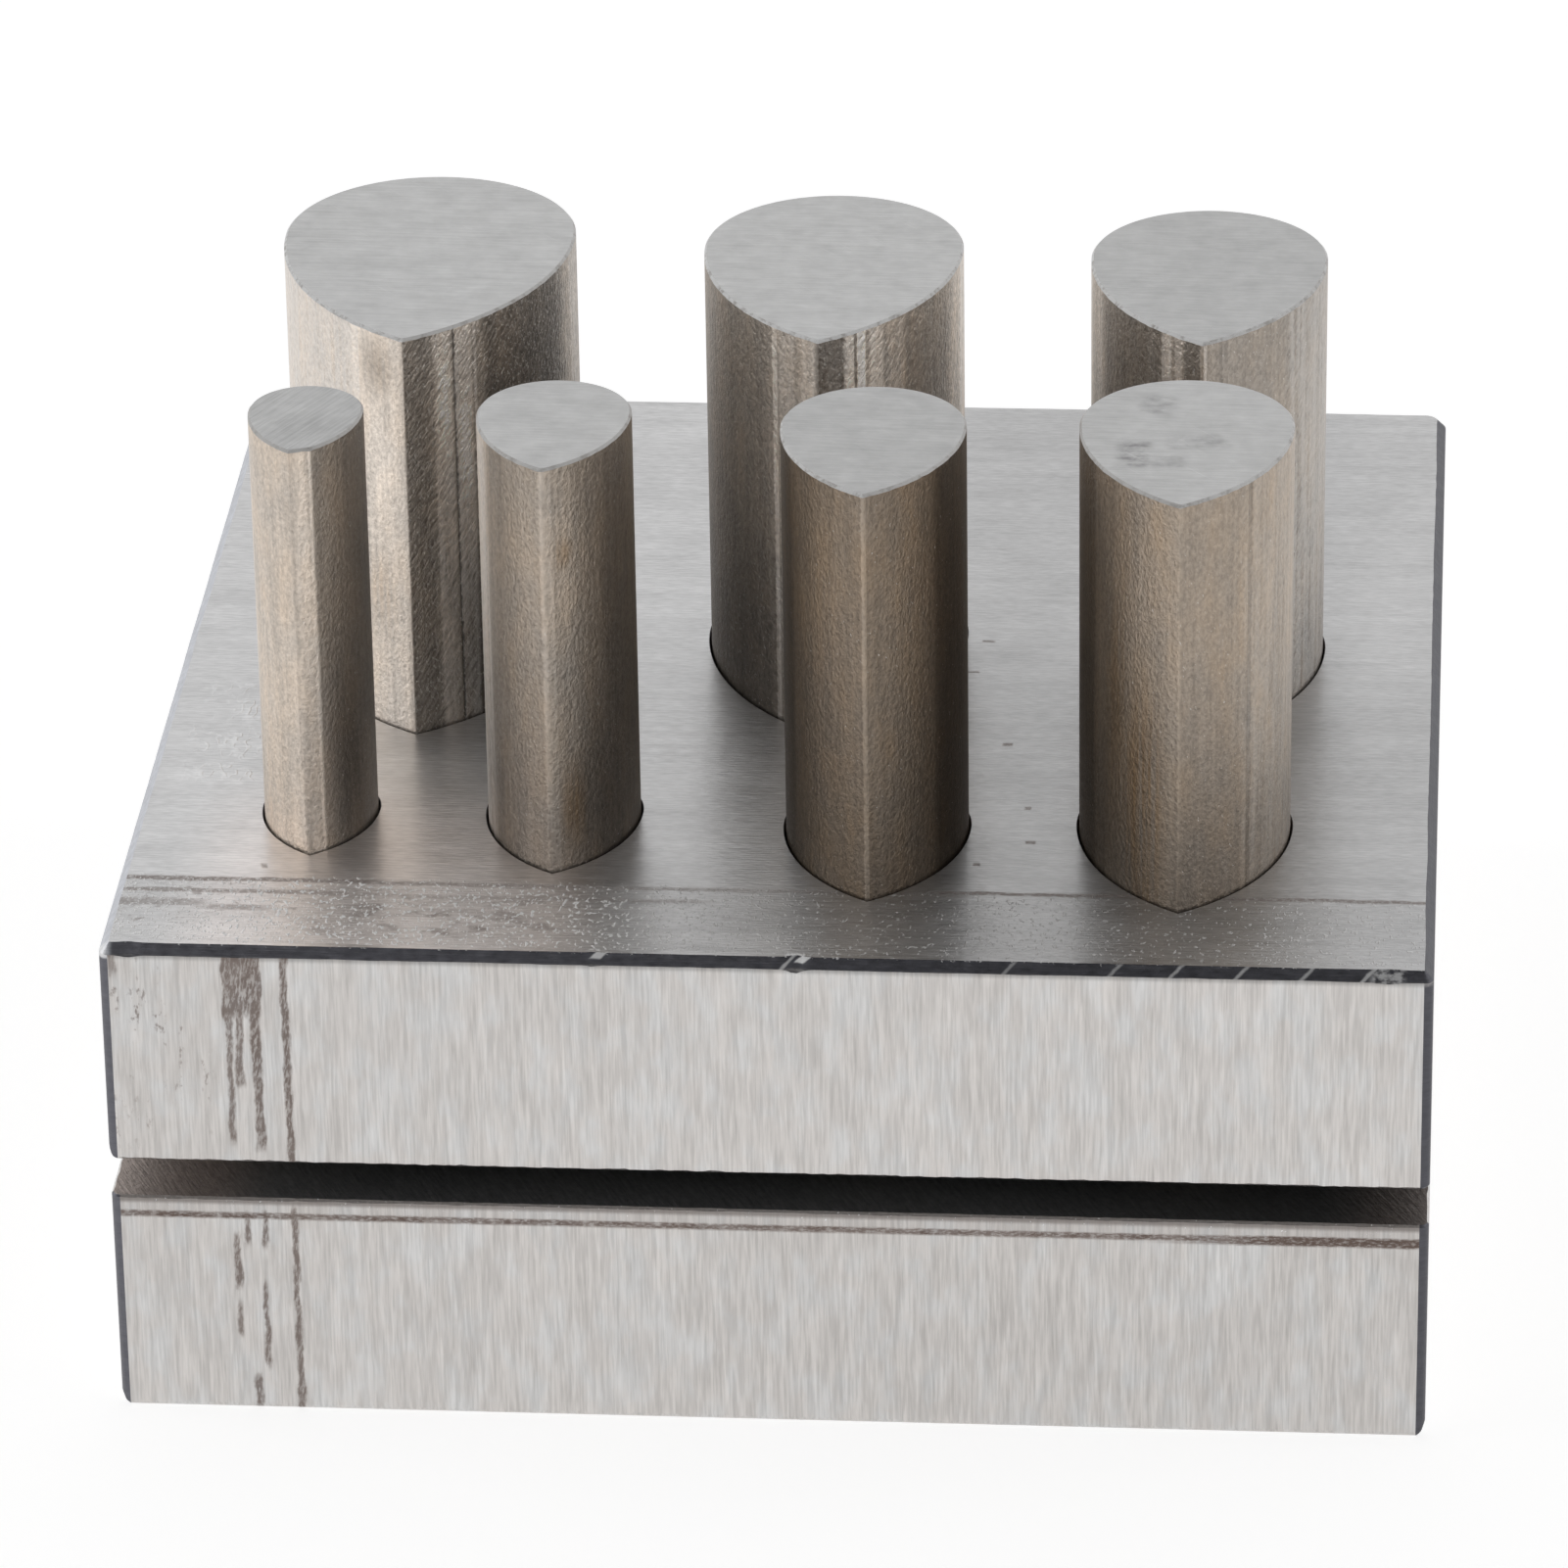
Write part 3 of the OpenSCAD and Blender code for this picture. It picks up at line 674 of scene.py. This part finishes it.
def ground_end(colours, grain, name):
    """A punch's ground end: brushed, with what handling has left on it."""
    recipe = new_finish(f"ground_end_{name}")
    number = int(name[-1])
    x, y, z = recipe.place()
    turn = math.radians(62.0 if name == "punch_1" else -2.0)
    along = math.cos(turn) * x + math.sin(turn) * y
    over = math.cos(turn) * y - math.sin(turn) * x
    fine = recipe.lines((2.5, 0.13, 1.0), seed=number, across=(along, over, z))
    wide = recipe.grain((4.0, 0.6, 1.0), seed=10 + number, across=(along, over, z))
    clouds = recipe.grain((1.6, 1.8, 2.0), seed=20 + number)
    spots = recipe.grain((0.7, 0.5, 1.0), seed=60 + number)
    drawn = 0.24 if name == "punch_1" else 0.15
    light = 0.93 - 0.5 * drawn + drawn * fine + 0.15 * (wide - 0.5)
    light = light + 0.3 * (clouds - 0.5) + 0.18 * (spots - 0.5)
    tint = recipe.tone(colours.end, STEEL_OF_PUNCH[name][3] * light)
    if name == "punch_4":
        soot = recipe.grain((1.1, 0.7, 1.0), rough=0.6, seed=11)
        smudges = most_of([
            dark * x.spot(at, half, 0.8) * y.spot(back, deep, 1.0)
            for at, back, half, deep, dark in SMUDGES
        ])
        tint = (smudges * soot.ramp(0.3, 0.75)).blend(tint, colours.smudge)
    slanted = (along + over, over - along, z)
    scratch = recipe.flecks((0.05, 5.0, 1.0), 0.7, 0.78, detail=1.0, seed=50 + number, across=slanted)
    tint = (0.2 * scratch).blend(tint, colours.burr)
    return recipe.steel(
        tint, 1.0, 0.33 + 0.1 * fine, recipe.bump(fine, grain.brush_deep),
        Anisotropic=0.6, Tangent=recipe.lay_of("X"),
    )


def struck_rim(colours, name):
    """The thin burr round a punch's struck end, with a painted highlight that makes it brighter on one side
    of the point.
    """
    recipe = new_finish(f"struck_rim_{name}")
    x, _, _ = recipe.place()
    left, right, _ = RIM_OF_PUNCH[name]
    pear = Pear(name)
    spots = recipe.grain((0.6, 0.6, 0.6), detail=4.0, rough=0.6, seed=int(name[-1]))
    # Painted highlight: the rim is brighter on one side of the point, over the worn burr spots
    side = left + (right - left) * x.ramp(pear.x / MM - 0.1, pear.x / MM + 0.1)
    worn = side * spots.ramp(0.3, 0.55)
    tint = worn.blend(colours.rim, colours.burr)
    return recipe.steel(tint, 0.1 - 0.1 * worn, 0.4, recipe.bump(spots, 0.03 * MM))


def plain_steel(name, paint, rough, grain_size):
    """A simple finish with a fine grain, for what lies inside."""
    recipe = new_finish(name)
    spots = recipe.grain((grain_size, grain_size, grain_size))
    tint = recipe.tone(paint, 0.75 + 0.5 * spots)
    return recipe.steel(tint, 1.0, rough + 0.1 * spots, recipe.bump(spots, 0.003 * MM))


# The finishes of a plate's skin and of a punch's, each in the order of its material slots
TOP, SIDE, BEVEL, SLOT, BORE = range(5)
CUT, LIP, END = range(3)


class Skin:
    """Gathers one piece's rings, walls and caps."""

    def __init__(self):
        self.points = []
        self.faces = []
        self.finishes = []

    def ring(self, outline, height):
        """Adds a closed ring of points, all at one height or each at its own."""
        first = len(self.points)
        heights = height if isinstance(height, list) else [height] * len(outline)
        self.points += [(x, y, z) for (x, y), z in zip(outline, heights)]
        return list(range(first, len(self.points)))

    def wall(self, lower, upper, finish):
        """Faces between two rings of as many points, facing out where the rings run anticlockwise."""
        count = len(lower)
        for this in range(count):
            after = (this + 1) % count
            self.faces.append((lower[this], lower[after], upper[after], upper[this]))
        self.finishes += finish if isinstance(finish, list) else [finish] * count

    def hole(self, lower, upper, finish):
        """The same, facing in."""
        self.wall(upper, lower, finish)

    def cap(self, rings, finish, up):
        """A flat face inside the first ring and outside the others."""
        loops = [[Vector(self.points[i]) for i in ring] for ring in rings]
        order = [i for ring in rings for i in ring]
        for corners in tessellate_polygon(loops):
            a, b, c = (Vector(self.points[order[i]]) for i in corners)
            rises = (b - a).cross(c - a).z > 0
            picked = corners if rises == up else reversed(corners)
            self.faces.append(tuple(order[i] for i in picked))
            self.finishes.append(finish)

    def piece(self, name, materials):
        """Makes the object."""
        mesh = bpy.data.meshes.new(name)
        mesh.from_pydata(self.points, [], self.faces)
        for material in materials:
            mesh.materials.append(material)
        mesh.polygons.foreach_set("material_index", self.finishes)
        mesh.polygons.foreach_set("use_smooth", [True] * len(self.faces))
        mesh.set_sharp_from_angle(angle=math.radians(SHARP))
        mesh.update()
        thing = bpy.data.objects.new(name, mesh)
        bpy.context.scene.collection.objects.link(thing)
        return thing


def arc(x, y, radius, turns):
    """Points of an arc at the given angles, in radians."""
    return [Vector((x + radius * math.cos(turn), y + radius * math.sin(turn))) for turn in turns]


def spread(start, end, steps):
    """Evenly spaced numbers, both ends included."""
    return [start + (end - start) * step / steps for step in range(steps + 1)]


class Bore:
    """A fastener's axis and reach, taken from its node."""

    def __init__(self, name):
        low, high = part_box(name)
        self.low, self.high = low.z, high.z
        self.x, self.y = (low.x + high.x) / 2, (low.y + high.y) / 2
        self.radius = (high.x - low.x) / 2

    def circle(self, radius, steps=48):
        """Points of a circle round the axis, anticlockwise."""
        return arc(self.x, self.y, radius, spread(0, math.tau, steps)[:-1])


class Pear:
    """A punch's outline, taken from its node: the round end about (x, y), the point towards -Y."""

    def __init__(self, name):
        low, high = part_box(name)
        self.low, self.high = low.z, high.z
        self.half = (high.x - low.x) / 2
        self.x = (high.x + low.x) / 2
        self.y = high.y - self.half
        reach = self.y - low.y
        self.side = (self.half**2 + reach**2) / (2 * self.half)
        self.off = self.side - self.half

    def flank(self, sign, radius, lean, steps, grooves):
        """One side's points, from the widest place to the point."""
        centre = Vector((self.x - sign * self.off, self.y))

        def at(turn, deep=0.0):
            return centre + (radius - deep) * Vector((sign * math.cos(turn), -math.sin(turn)))

        def turn_at(across):
            return min(math.acos(min((sign * across + self.off) / radius, 1.0)), lean)

        points = {turn: at(turn) for turn in spread(0, lean, steps)}
        for place, half, deep in grooves:
            if sign * place > 0:
                low, middle, high = (turn_at((place + sign * shift) * MM) for shift in (half, 0, -half))
                points = {turn: point for turn, point in points.items() if not low < turn < high}
                points |= {low: at(low), middle: at(middle, deep * MM), high: at(high)}
        return [points[turn] for turn in sorted(points)]

    def outline(self, grow=0.0, blunt=0.0, steps=40, grooves=()):
        """The outline widened by grow, anticlockwise, with its point rounded by the radius blunt."""
        radius = self.side + grow
        reach = math.sqrt((radius - blunt) ** 2 - self.off**2)
        lean = math.atan2(reach, self.off)
        points = self.flank(1, radius, lean, steps, grooves)[::-1]
        points += arc(self.x, self.y, self.half + grow, spread(0, math.pi, steps)[1:-1])
        points += self.flank(-1, radius, lean, steps, grooves)
        if blunt > 0:
            turns = spread(math.pi + lean, math.tau - lean, CORNER_STEPS)[1:-1]
            points += arc(self.x, self.y - reach, blunt, turns)
        else:
            points.pop()
        return points

    def filed(self, outline, start, end):
        """The outline with the point cut off straight, between two places right of the point."""
        def depth(across):
            sign = 1 if across > 0 else -1
            return self.y - math.sqrt(self.side**2 - (sign * across + self.off) ** 2)

        first, last = depth(start), depth(end)
        points = []
        for point in outline:
            share = (point.x - self.x - start) / (end - start)
            if 0 < share < 1 and point.y < self.y:
                point = Vector((point.x, max(point.y, first + share * (last - first))))
            points.append(point)
        return points


class Rim:
    """A point of a plate's outline seen from above, which can be drawn in."""

    def __init__(self, centre, radius, out, corner):
        self.centre = centre
        self.radius = radius
        self.out = out
        self.corner = corner

    def place(self, depth):
        """Where the point lies when the outline is drawn in by depth. Corners keep a small radius."""
        left = max(self.radius - depth, 0.05 * MM) if self.radius else 0.0
        return self.centre + left * self.out - (depth - self.radius + left) * self.corner

    def share(self, at_sides, at_ends):
        """A size that differs between the sides and the front and back."""
        return at_sides * self.out.x**2 + at_ends * self.out.y**2


def plate_rim(node, sizes, step):
    """A plate's corners and edges from above, anticlockwise from the left end of the front."""
    low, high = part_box(node)
    rounds = [
        (-1, -1, sizes.front_round), (1, -1, sizes.front_round),
        (1, 1, sizes.back_round), (-1, 1, sizes.back_round),
    ]
    corners = []
    for sx, sy, radius in rounds:
        x = (low.x if sx < 0 else high.x) - sx * radius
        y = (low.y if sy < 0 else high.y) - sy * radius
        corners.append((Vector((x, y)), radius, Vector((sx, sy))))
    rim = []
    for index, (centre, radius, corner) in enumerate(corners):
        start = math.pi + index * math.pi / 2
        turns = spread(start, start + math.pi / 2, CORNER_STEPS)
        rim += [Rim(centre, radius, Vector((math.cos(a), math.sin(a))), corner) for a in turns]
        out = rim[-1].out
        ahead, ahead_radius, _ = corners[(index + 1) % 4]
        begin, end = centre + radius * out, ahead + ahead_radius * out
        count = round((end - begin).length / step)
        rim += [Rim(begin.lerp(end, part / count), 0.0, out, out) for part in range(1, count)]
    return rim


def sides_of(rim):
    """The finish of each upright face of a rim: the corners at the front take the bevel's finish, painted
    dark for the reflection they show.
    """
    return [BEVEL if point.radius and after.radius and point.out.y + after.out.y < 0 else SIDE
            for point, after in zip(rim, rim[1:] + rim[:1])]


def stray(point, scale, seed):
    """A smooth random number from -1 to 1 for a place on an edge."""
    return noise.noise(Vector((point[0] / scale, point[1] / scale, seed)))


def plate_finishes(colours, grain):
    """A plate's materials, in the order of its skin's numbers."""
    makers = (ground_top, ground_side, painted_bevel, slot_face, cut_bore)
    return [bpy.data.materials.get(maker.__name__) or maker(colours, grain) for maker in makers]


def filing(point, sizes, grain):
    """How much wider the hand-made bevel is at a point of the rim."""
    wave = stray(point.centre, 6 * MM, grain.seed) + 0.5 * stray(point.centre, 1.1 * MM, grain.seed)
    nicked = sum(
        deeper * MM * math.exp(-((point.centre.x / MM - across) / half) ** 2)
        for across, half, deeper in NICKS
    )
    return sizes.bevel_wander * wave + nicked * max(-point.out.y, 0.0)


class CUTTER_OT_guide_plate(Operator):
    """Makes the guide plate: ground faces, a hand-made bevel, and the holes that lead the punches"""

    bl_idname = "cutter.guide_plate"
    bl_label = "Guide plate"

    def execute(self, context):
        sizes, colours, grain = looks(context)
        low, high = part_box("guide_plate")
        skin = Skin()
        rim = plate_rim("guide_plate", sizes, GUIDE_STEP)
        filed = [sizes.bevel + filing(point, sizes, grain) for point in rim]
        worn = [max(-point.out.x, 0.0) ** 4 for point in rim]
        under = [point.place(sizes.edge_break + share * (sizes.deburr_w - sizes.edge_break))
                 for point, share in zip(rim, worn)]
        jagged = [sizes.edge_break * (1.0 + 0.5 * stray(point.centre, 0.4 * MM, grain.seed)) for point in rim]
        rise = [low.z + depth + share * (sizes.deburr_h - depth) for depth, share in zip(jagged, worn)]
        foot = skin.ring(under, low.z)
        outside = [point.place(0.0) for point in rim]
        wall_low = skin.ring(outside, rise)
        wall_high = skin.ring(outside, [high.z - depth for depth in filed])
        crown = skin.ring([point.place(depth) for point, depth in zip(rim, filed)], high.z)
        skin.wall(foot, wall_low, sides_of(rim))
        skin.wall(wall_low, wall_high, sides_of(rim))
        skin.wall(wall_high, crown, BEVEL)
        mouths, exits = [], []
        for name in PUNCHES:
            pear = Pear(name)
            mouth = skin.ring(pear.outline(sizes.guide_gap + sizes.hole_break), high.z)
            throat = skin.ring(pear.outline(sizes.guide_gap), high.z - sizes.hole_break)
            end = skin.ring(pear.outline(sizes.guide_gap), low.z)
            skin.hole(throat, mouth, BEVEL)
            skin.hole(end, throat, BORE)
            mouths.append(mouth)
            exits.append(end)
        for name in SCREWS + DOWELS:
            bore = Bore(name)
            if name in SCREWS:
                outline, spare = bore.circle(sizes.shank_d / 2 + sizes.tap_gap), sizes.tap_spare
            else:
                outline, spare = bore.circle(bore.radius + sizes.ream_gap), sizes.dowel_spare
            start, blind = skin.ring(outline, low.z), skin.ring(outline, bore.high + spare)
            skin.hole(start, blind, BORE)
            skin.cap([blind], BORE, up=False)
            exits.append(start)
        skin.cap([crown] + mouths, TOP, up=True)
        skin.cap([foot] + exits, SLOT, up=False)
        plate = skin.piece("guide_plate_ground", plate_finishes(colours, grain))
        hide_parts("guide_plate")
        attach(plate, "block")
        return {"FINISHED"}


class CUTTER_OT_die_plate(Operator):
    """Makes the die plate: ground faces, cutting holes, and counterbores for the screws"""

    bl_idname = "cutter.die_plate"
    bl_label = "Die plate"

    def execute(self, context):
        sizes, colours, grain = looks(context)
        low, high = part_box("die_plate")
        skin = Skin()
        rim = plate_rim("die_plate", sizes, DIE_STEP)
        foot_r = [point.share(sizes.side_foot, sizes.front_foot) for point in rim]
        rings = []
        for turn in range(4):
            angle = turn * math.pi / 6
            outline = [point.place(r * (1 - math.sin(angle))) for point, r in zip(rim, foot_r)]
            rings.append(skin.ring(outline, [low.z + r * (1 - math.cos(angle)) for r in foot_r]))
        broken = [sizes.edge_break * (1.0 + 0.5 * stray(point.centre, 0.8 * MM, grain.seed)) for point in rim]
        rings.append(skin.ring([point.place(0.0) for point in rim], [high.z - depth for depth in broken]))
        rings.append(skin.ring([point.place(depth) for point, depth in zip(rim, broken)], high.z))
        for lower, upper in zip(rings, rings[1:]):
            skin.wall(lower, upper, sides_of(rim))
        entries, exits = [], []

        def through(outline):
            entry, end = skin.ring(outline, high.z), skin.ring(outline, low.z)
            skin.hole(end, entry, BORE)
            entries.append(entry)
            exits.append(end)

        for name in PUNCHES:
            through(Pear(name).outline(sizes.die_gap))
        for name in SCREWS:
            bore = Bore(name)
            seat = bore.low + sizes.head_h
            wide = bore.circle(bore.radius + sizes.drill_gap)
            narrow = bore.circle(sizes.shank_d / 2 + sizes.drill_gap)
            mouth, floor = skin.ring(wide, low.z), skin.ring(wide, seat)
            neck, entry = skin.ring(narrow, seat), skin.ring(narrow, high.z)
            for lower, upper in ((mouth, floor), (floor, neck), (neck, entry)):
                skin.hole(lower, upper, BORE)
            exits.append(mouth)
            entries.append(entry)
        for name in DOWELS:
            bore = Bore(name)
            through(bore.circle(bore.radius + sizes.ream_gap))
        skin.cap([rings[-1]] + entries, SLOT, up=True)
        skin.cap([rings[0]] + exits, SIDE, up=False)
        plate = skin.piece("die_plate_ground", plate_finishes(colours, grain))
        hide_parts("die_plate")
        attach(plate, "block")
        return {"FINISHED"}


class CUTTER_OT_punches(Operator):
    """Makes the seven punches: wire-cut sides with streaks, and ground ends with a thin rim"""

    bl_idname = "cutter.punches"
    bl_label = "Punches"

    def execute(self, context):
        sizes, colours, grain = looks(context)
        for number, name in enumerate(PUNCHES, 1):
            pear = Pear(name)
            middle = Vector((pear.x, pear.y))
            blunt = RIM_OF_PUNCH[name][2] * MM
            outline = pear.outline(blunt=blunt, steps=80, grooves=GROOVES.get(name, ()))
            top, nose_end = outline, None
            if name in NOSES:
                start, end, nose_end = (size * MM for size in NOSES[name])
                top = pear.filed(outline, start, end)
            inner = [point.lerp(middle, sizes.punch_rim / pear.half) for point in top]
            rims = [sizes.punch_rim * (1.1 + 0.3 * stray(point, 0.5 * MM, number)) for point in top]
            skin = Skin()
            heel_break = 0.3 * sizes.punch_rim
            foot = skin.ring([point.lerp(middle, heel_break / pear.half) for point in outline], pear.low)
            heel = skin.ring(outline, pear.low + heel_break)
            edge = skin.ring(top, [pear.high - max(rim, sizes.punch_rim) for rim in rims])
            crown = skin.ring(inner, pear.high)
            skin.wall(foot, heel, CUT)
            if nose_end:
                waist = skin.ring(outline, nose_end)
                skin.wall(heel, waist, CUT)
                skin.wall(waist, edge, CUT)
            else:
                skin.wall(heel, edge, CUT)
            skin.wall(edge, crown, LIP)
            skin.cap([foot], END, up=False)
            skin.cap([crown], END, up=True)
            finishes = [
                wire_cut(colours, grain, name), struck_rim(colours, name), ground_end(colours, grain, name),
            ]
            punch = skin.piece(f"{name}_finished", finishes)
            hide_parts(name)
            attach(punch, name)
        return {"FINISHED"}


class CUTTER_OT_fasteners(Operator):
    """Finishes the spacer bar, the cap screws and the dowel pins"""

    bl_idname = "cutter.fasteners"
    bl_label = "Spacer bar, screws and pins"

    def execute(self, context):
        colours = context.scene.cutter_colours
        dress(["spacer_bar"], plain_steel("milled_spacer", colours.slot, 0.45, 0.6))
        dress(SCREWS, plain_steel("black_oxide", colours.oxide, 0.45, 0.3))
        dress(DOWELS, plain_steel("ground_pin", colours.pin, 0.25, 0.3))
        return {"FINISHED"}


def looks(context):
    """The sizes, colours and grain of the scene."""
    scene = context.scene
    return scene.cutter_sizes, scene.cutter_colours, scene.cutter_grain


def dress(nodes, material):
    """Gives nodes of the frame their finish."""
    for name in nodes:
        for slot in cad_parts[name].material_slots:
            slot.material = material


def softbox(name, place, power):
    """A square lamp at a place, facing the block."""
    lamp = bpy.data.lights.new(name, "AREA")
    lamp.shape = "RECTANGLE"
    lamp.size = lamp.size_y = LAMP_WIDTH
    lamp.energy = power
    thing = bpy.data.objects.new(name, lamp)
    thing.location = place
    thing.rotation_euler = (Vector(AIM) - Vector(place)).to_track_quat("-Z", "Y").to_euler()
    bpy.context.scene.collection.objects.link(thing)


def sheet(name, corners, faces, material):
    """A stage sheet."""
    mesh = bpy.data.meshes.new(name)
    mesh.from_pydata(corners, [], faces)
    mesh.materials.append(material)
    thing = bpy.data.objects.new(name, mesh)
    bpy.context.scene.collection.objects.link(thing)
    return thing


class CUTTER_OT_stage(Operator):
    """Sets the floor, the world, the lamps and the camera"""

    bl_idname = "cutter.stage"
    bl_label = "Stage"

    def execute(self, context):
        scene = context.scene
        setup = scene.cutter_stage
        scene.view_settings.view_transform = "Standard"
        x, y, z = LAMP_PLACE
        softbox("left_softbox", (-x, y, z), setup.left_power)
        softbox("right_softbox", (x, y, z), setup.right_power)
        self.floor(setup)
        self.cloth(setup)
        self.world(scene, setup)
        self.camera(scene, setup)
        return {"FINISHED"}

    def seen(self, recipe):
        """1 for the rays that see the white background: from the camera, or mirrored, or through glass."""
        path = recipe.make("ShaderNodeLightPath")
        sockets = path.socket.node.outputs
        kinds = [Wire(recipe, sockets[f"Is {kind} Ray"]) for kind in ("Camera", "Glossy", "Transmission")]
        return most_of(kinds)

    def floor(self, setup):
        recipe = new_finish("pale_floor")
        glow = self.seen(recipe).blend((0.0, 0.0, 0.0), (setup.floor_glow,) * 3)
        material = recipe.finish({
            "Base Color": (0.5, 0.5, 0.5, 1.0), "Roughness": 1.0, "Emission Color": glow,
            "Emission Strength": 1.0,
        })
        corners = [(FLOOR_HALF * x, FLOOR_HALF * y, 0) for x, y in ((-1, -1), (1, -1), (1, 1), (-1, 1))]
        sheet("floor", corners, [(0, 1, 2, 3)], material)

    def cloth(self, setup):
        """A dark cloth round the front, which only mirrors in the steel."""
        recipe = new_finish("dark_cloth")
        material = recipe.finish({"Base Color": (0.03, 0.03, 0.03, 1.0), "Roughness": 1.0})
        corners = []
        for rise in spread(*map(math.radians, CLOTH_RISE), CLOTH_ROWS):
            reach, height = setup.cloth_reach * math.cos(rise), setup.cloth_reach * math.sin(rise)
            for turn in spread(*map(math.radians, CLOTH_TURN), CLOTH_COLUMNS):
                corners.append((reach * math.cos(turn), reach * math.sin(turn), height))
        faces = []
        above = CLOTH_COLUMNS + 1
        for row in range(CLOTH_ROWS):
            for first in range(row * above, row * above + CLOTH_COLUMNS):
                faces.append((first, first + 1, first + above + 1, first + above))
        sheet("dark_cloth", corners, faces, material).visible_camera = False

    def world(self, scene, setup):
        world = bpy.data.worlds.new("white_room")
        scene.world = world
        recipe = Recipe(world)
        paint = self.seen(recipe).blend((setup.fill,) * 3, (1.0, 1.0, 1.0))
        background = recipe.make("ShaderNodeBackground", {}, {"Color": paint, "Strength": 1.0})
        recipe.make("ShaderNodeOutputWorld", {}, {"Surface": background})

    def camera(self, scene, setup):
        turn, tilt, roll = (math.radians(angle) for angle in (-setup.turn, setup.tilt, setup.roll))
        ahead = Vector((math.sin(turn) * math.cos(tilt), math.cos(turn) * math.cos(tilt), -math.sin(tilt)))
        right = Vector((math.cos(turn), -math.sin(turn), 0.0))
        down = ahead.cross(right)
        across = math.cos(roll) * right + math.sin(roll) * down
        up = math.sin(roll) * right - math.cos(roll) * down
        data = bpy.data.cameras.new("photo_camera")
        data.lens = setup.lens
        data.sensor_width = 36.0
        data.clip_start, data.clip_end = 0.01, 10.0
        camera = bpy.data.objects.new("photo_camera", data)
        facing = Matrix((across, up, -ahead)).transposed().to_4x4()
        camera.matrix_world = Matrix.Translation(setup.eye) @ facing
        scene.collection.objects.link(camera)
        scene.camera = camera


class CUTTER_PT_panel(Panel):
    """Lists the cutter's sizes and finishes, and the steps that make it"""

    bl_idname = "CUTTER_PT_panel"
    bl_label = "Disc Cutter"
    bl_space_type = "VIEW_3D"
    bl_region_type = "UI"
    bl_category = "Disc Cutter"

    def draw(self, context):
        layout = self.layout
        for group in (getattr(context.scene, name) for name in GROUPS):
            box = layout.box()
            for name in group.bl_rna.properties.keys():
                if name not in {"name", "rna_type"}:
                    box.prop(group, name)
        for step in STEPS:
            layout.operator(step.bl_idname)


GROUPS = {
    "cutter_sizes": CutterSizes, "cutter_colours": SteelColours,
    "cutter_grain": SteelGrain, "cutter_stage": StudioSetup,
}
STEPS = (
    CUTTER_OT_guide_plate, CUTTER_OT_die_plate, CUTTER_OT_punches, CUTTER_OT_fasteners, CUTTER_OT_stage,
)
CLASSES = (*GROUPS.values(), *STEPS, CUTTER_PT_panel)


def register():
    for item in CLASSES:
        bpy.utils.register_class(item)
    for name, group in GROUPS.items():
        setattr(bpy.types.Scene, name, PointerProperty(type=group))


def unregister():
    for name in GROUPS:
        delattr(bpy.types.Scene, name)
    for item in reversed(CLASSES):
        bpy.utils.unregister_class(item)


def main():
    register()
    bpy.ops.cutter.guide_plate()
    bpy.ops.cutter.die_plate()
    bpy.ops.cutter.punches()
    bpy.ops.cutter.fasteners()
    bpy.ops.cutter.stage()


if __name__ == "__main__":
    main()
